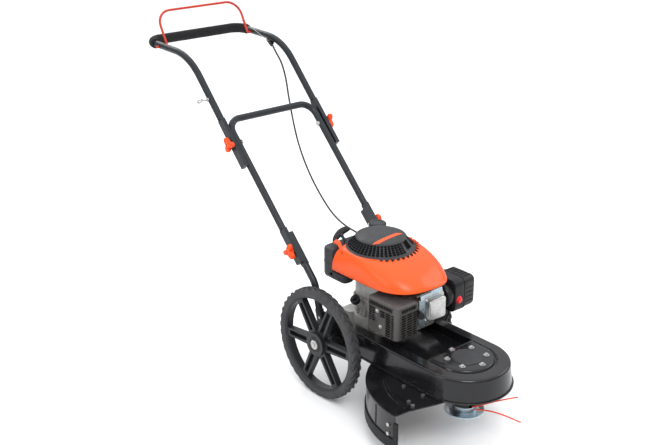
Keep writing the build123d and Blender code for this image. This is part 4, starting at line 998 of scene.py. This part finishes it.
def bail_loop():
    """The bent rod of the bail: its ends turn outward into the handle's tubes."""
    x, end_x, low_y, low_z, top_y, top_z = 165.0, 206.0, 805.0, 947.0, 862.0, 1050.0
    route = [at(-end_x, low_y, low_z), at(-x, low_y, low_z), at(-x, top_y, top_z), at(x, top_y, top_z),
             at(x, low_y, low_z), at(end_x, low_y, low_z)]
    run, bends = [route[0]], (7.0, 50.0, 50.0, 7.0)
    for corner, bend in zip(range(1, 5), bends):
        run += rounded([route[corner - 1], route[corner], route[corner + 1]], bend, radians(9))[1:-1]
    run.append(route[-1])
    piece("bail_rod", *tube(run, 4.0, 14), BAIL_PAINT, "bail", "bail_paint", ["bail"], sharp=60)


bail_loop()


def bail_wire():
    """The cable's bare inner wire, from the bail's leg to the bracket, with a barrel at its end."""
    path = [at(165.5, 828, 985), at(166.5, 800, 973), at(168, 758, 957), at(169, 720, 944), at(169, 690, 933)]
    barrel = spun([(0.2, -4), (3, -4), (3, 4), (0.2, 4)], path[0], (1, 0, 0), 16)
    wire = smooth_object("bail_wire", *joined(tube(line_points(path), WIRE_R, 8), barrel), STEEL)
    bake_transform(wire)


bail_wire()
sheath_end = spun([(3.2, 0), (4.6, 1), (4.6, 16), (3.6, 24)], at(169, 690, 933), (-0.12, -0.87, -0.47), 20)
piece("cable_ferrule", *sheath_end, BLACK_PLASTIC, "upper_handle", "black_plastic")


# ------------------------ deck details
PAN_Y, PLATE_TOP = -413.0, 154.5


def deck_details():
    pan, platform, half = 199.0, 232.0, 93.0
    back = -352.0

    def outline(inset, z):
        points = [at((half - inset) * cos(a), PAN_Y + (half - inset) * sin(a), z)
                  for a in (pi + pi * i / 48 for i in range(49))]
        return points + [at(half - inset, back - inset, z), at(-half + inset, back - inset, z)]

    rings = [outline(i, z) for i, z in ((0, pan), (0, 224), (0.6, 225.5), (2.5, 225.5), (4.5, 223),
            (6.5, 223.5),
                                        (8.5, 229), (11, 231.2), (14, platform), (20, platform))]
    piece("head_platform", *lofted(rings), PAINT_BLACK, "chassis", "black_steel", sharp=30)
    bead = spun([(45, -1), (45, 0.6), (43, 3), (40, 4.6), (38, 4.6), (37, 3.8), (12, 3.8), (0.3, 3.8)],
                at(HEAD_X, HEAD_Y, platform), (0, 0, 1), 56)
    piece("boss_plate", *bead, GREY_PLASTIC, "chassis", "grey_plastic")
    for i in range(6):
        a = radians(30 + 60 * i)
        spot = at(HEAD_X + 58 * cos(a), HEAD_Y + 58 * sin(a), platform)
        hex_bolt("platform_bolt_%d" % i, spot, (0, 0, 1), 5.6, 6.0, "chassis", washer=9.0)
    edge = []
    for i in range(60):
        a = radians(108 + 73 * i / 59)
        edge.append(at(HEAD_X + 284 * cos(a), HEAD_Y + 284 * sin(a), PLATE_TOP))
    piece("plate_edge_roll", *tube(edge, 2.6, 12), PAINT_BLACK, "chassis", "black_steel")
    seam = [at(HEAD_X + 286.2 * cos(radians(163)), HEAD_Y + 286.2 * sin(radians(163)), z) for z in (70, 150)]
    piece("shield_seam", *tube(seam, 1.1, 8), PAINT_BLACK, "chassis", "black_steel")
    rings = []
    for z in (54, 90, 122, 136):
        ring = []
        for r, d in ((282, 180.2), (289, 180.2), (289.5, 183.2), (281.5, 183.2)):
            ring.append(at(HEAD_X + r * cos(radians(d)), HEAD_Y + r * sin(radians(d)), z))
        rings.append(ring)
    soften(piece("shield_front_rubber", *lofted(rings), RUBBER, "chassis", "skirt_rubber"), 1.0)


deck_details()

# ------------------------ stage and light
REACH, AT_HORIZON, OVERHEAD = 14.0, 0.32, 1.75
floor_mesh = bpy.data.meshes.new("floor")
floor_mesh.from_pydata([(-REACH, -REACH, 0), (REACH, -REACH, 0), (REACH, REACH, 0), (-REACH, REACH, 0)], [],
                       [(0, 1, 2, 3)])
floor = bpy.data.objects.new("floor", floor_mesh)
bpy.context.scene.collection.objects.link(floor)
floor_mesh.materials.append(finish("pale_floor", (0.9, 0.9, 0.9), 0.7, mottle=0.01, mottle_scale=2,
        grain=0.03))


def area_light(name, place_at, target, size, power):
    data = bpy.data.lights.new(name, "AREA")
    data.shape = "RECTANGLE"
    data.size, data.size_y = size
    data.energy = power
    lamp = bpy.data.objects.new(name, data)
    bpy.context.scene.collection.objects.link(lamp)
    lamp.location = place_at
    lamp.rotation_euler = (Vector(target) - Vector(place_at)).to_track_quat("-Z", "Y").to_euler()


area_light("key", (-1.4, -2.6, 3.4), (0, 0, 0.4), (1.6, 1.6), 60)
area_light("fill", (3.2, -1.4, 2.4), (0, 0, 0.4), (2.4, 1.4), 22)
area_light("rim", (0.8, 3.4, 3.0), (0, 0, 0.6), (2.8, 1.2), 40)
area_light("low_side", (-3.4, 0.4, 1.6), (0, 0, 0.3), (1.4, 1.2), 16)
bpy.context.scene.view_settings.view_transform = "Standard"
world = bpy.data.worlds.new("studio")
bpy.context.scene.world = world
world.use_nodes = True
sky = world.node_tree
direction = sky.nodes.new("ShaderNodeTexCoord")
height = sky.nodes.new("ShaderNodeSeparateXYZ")
sky.links.new(direction.outputs["Generated"], height.inputs["Vector"])
ramp = sky.nodes.new("ShaderNodeMapRange")
ramp.inputs["From Min"].default_value = 0.0
ramp.inputs["From Max"].default_value = 1.0
ramp.inputs["To Min"].default_value = AT_HORIZON
ramp.inputs["To Max"].default_value = OVERHEAD
sky.links.new(height.outputs["Z"], ramp.inputs["Value"])
sky.nodes["Background"].inputs["Color"].default_value = (0.97, 0.98, 1.0, 1.0)
sky.links.new(ramp.outputs["Result"], sky.nodes["Background"].inputs["Strength"])
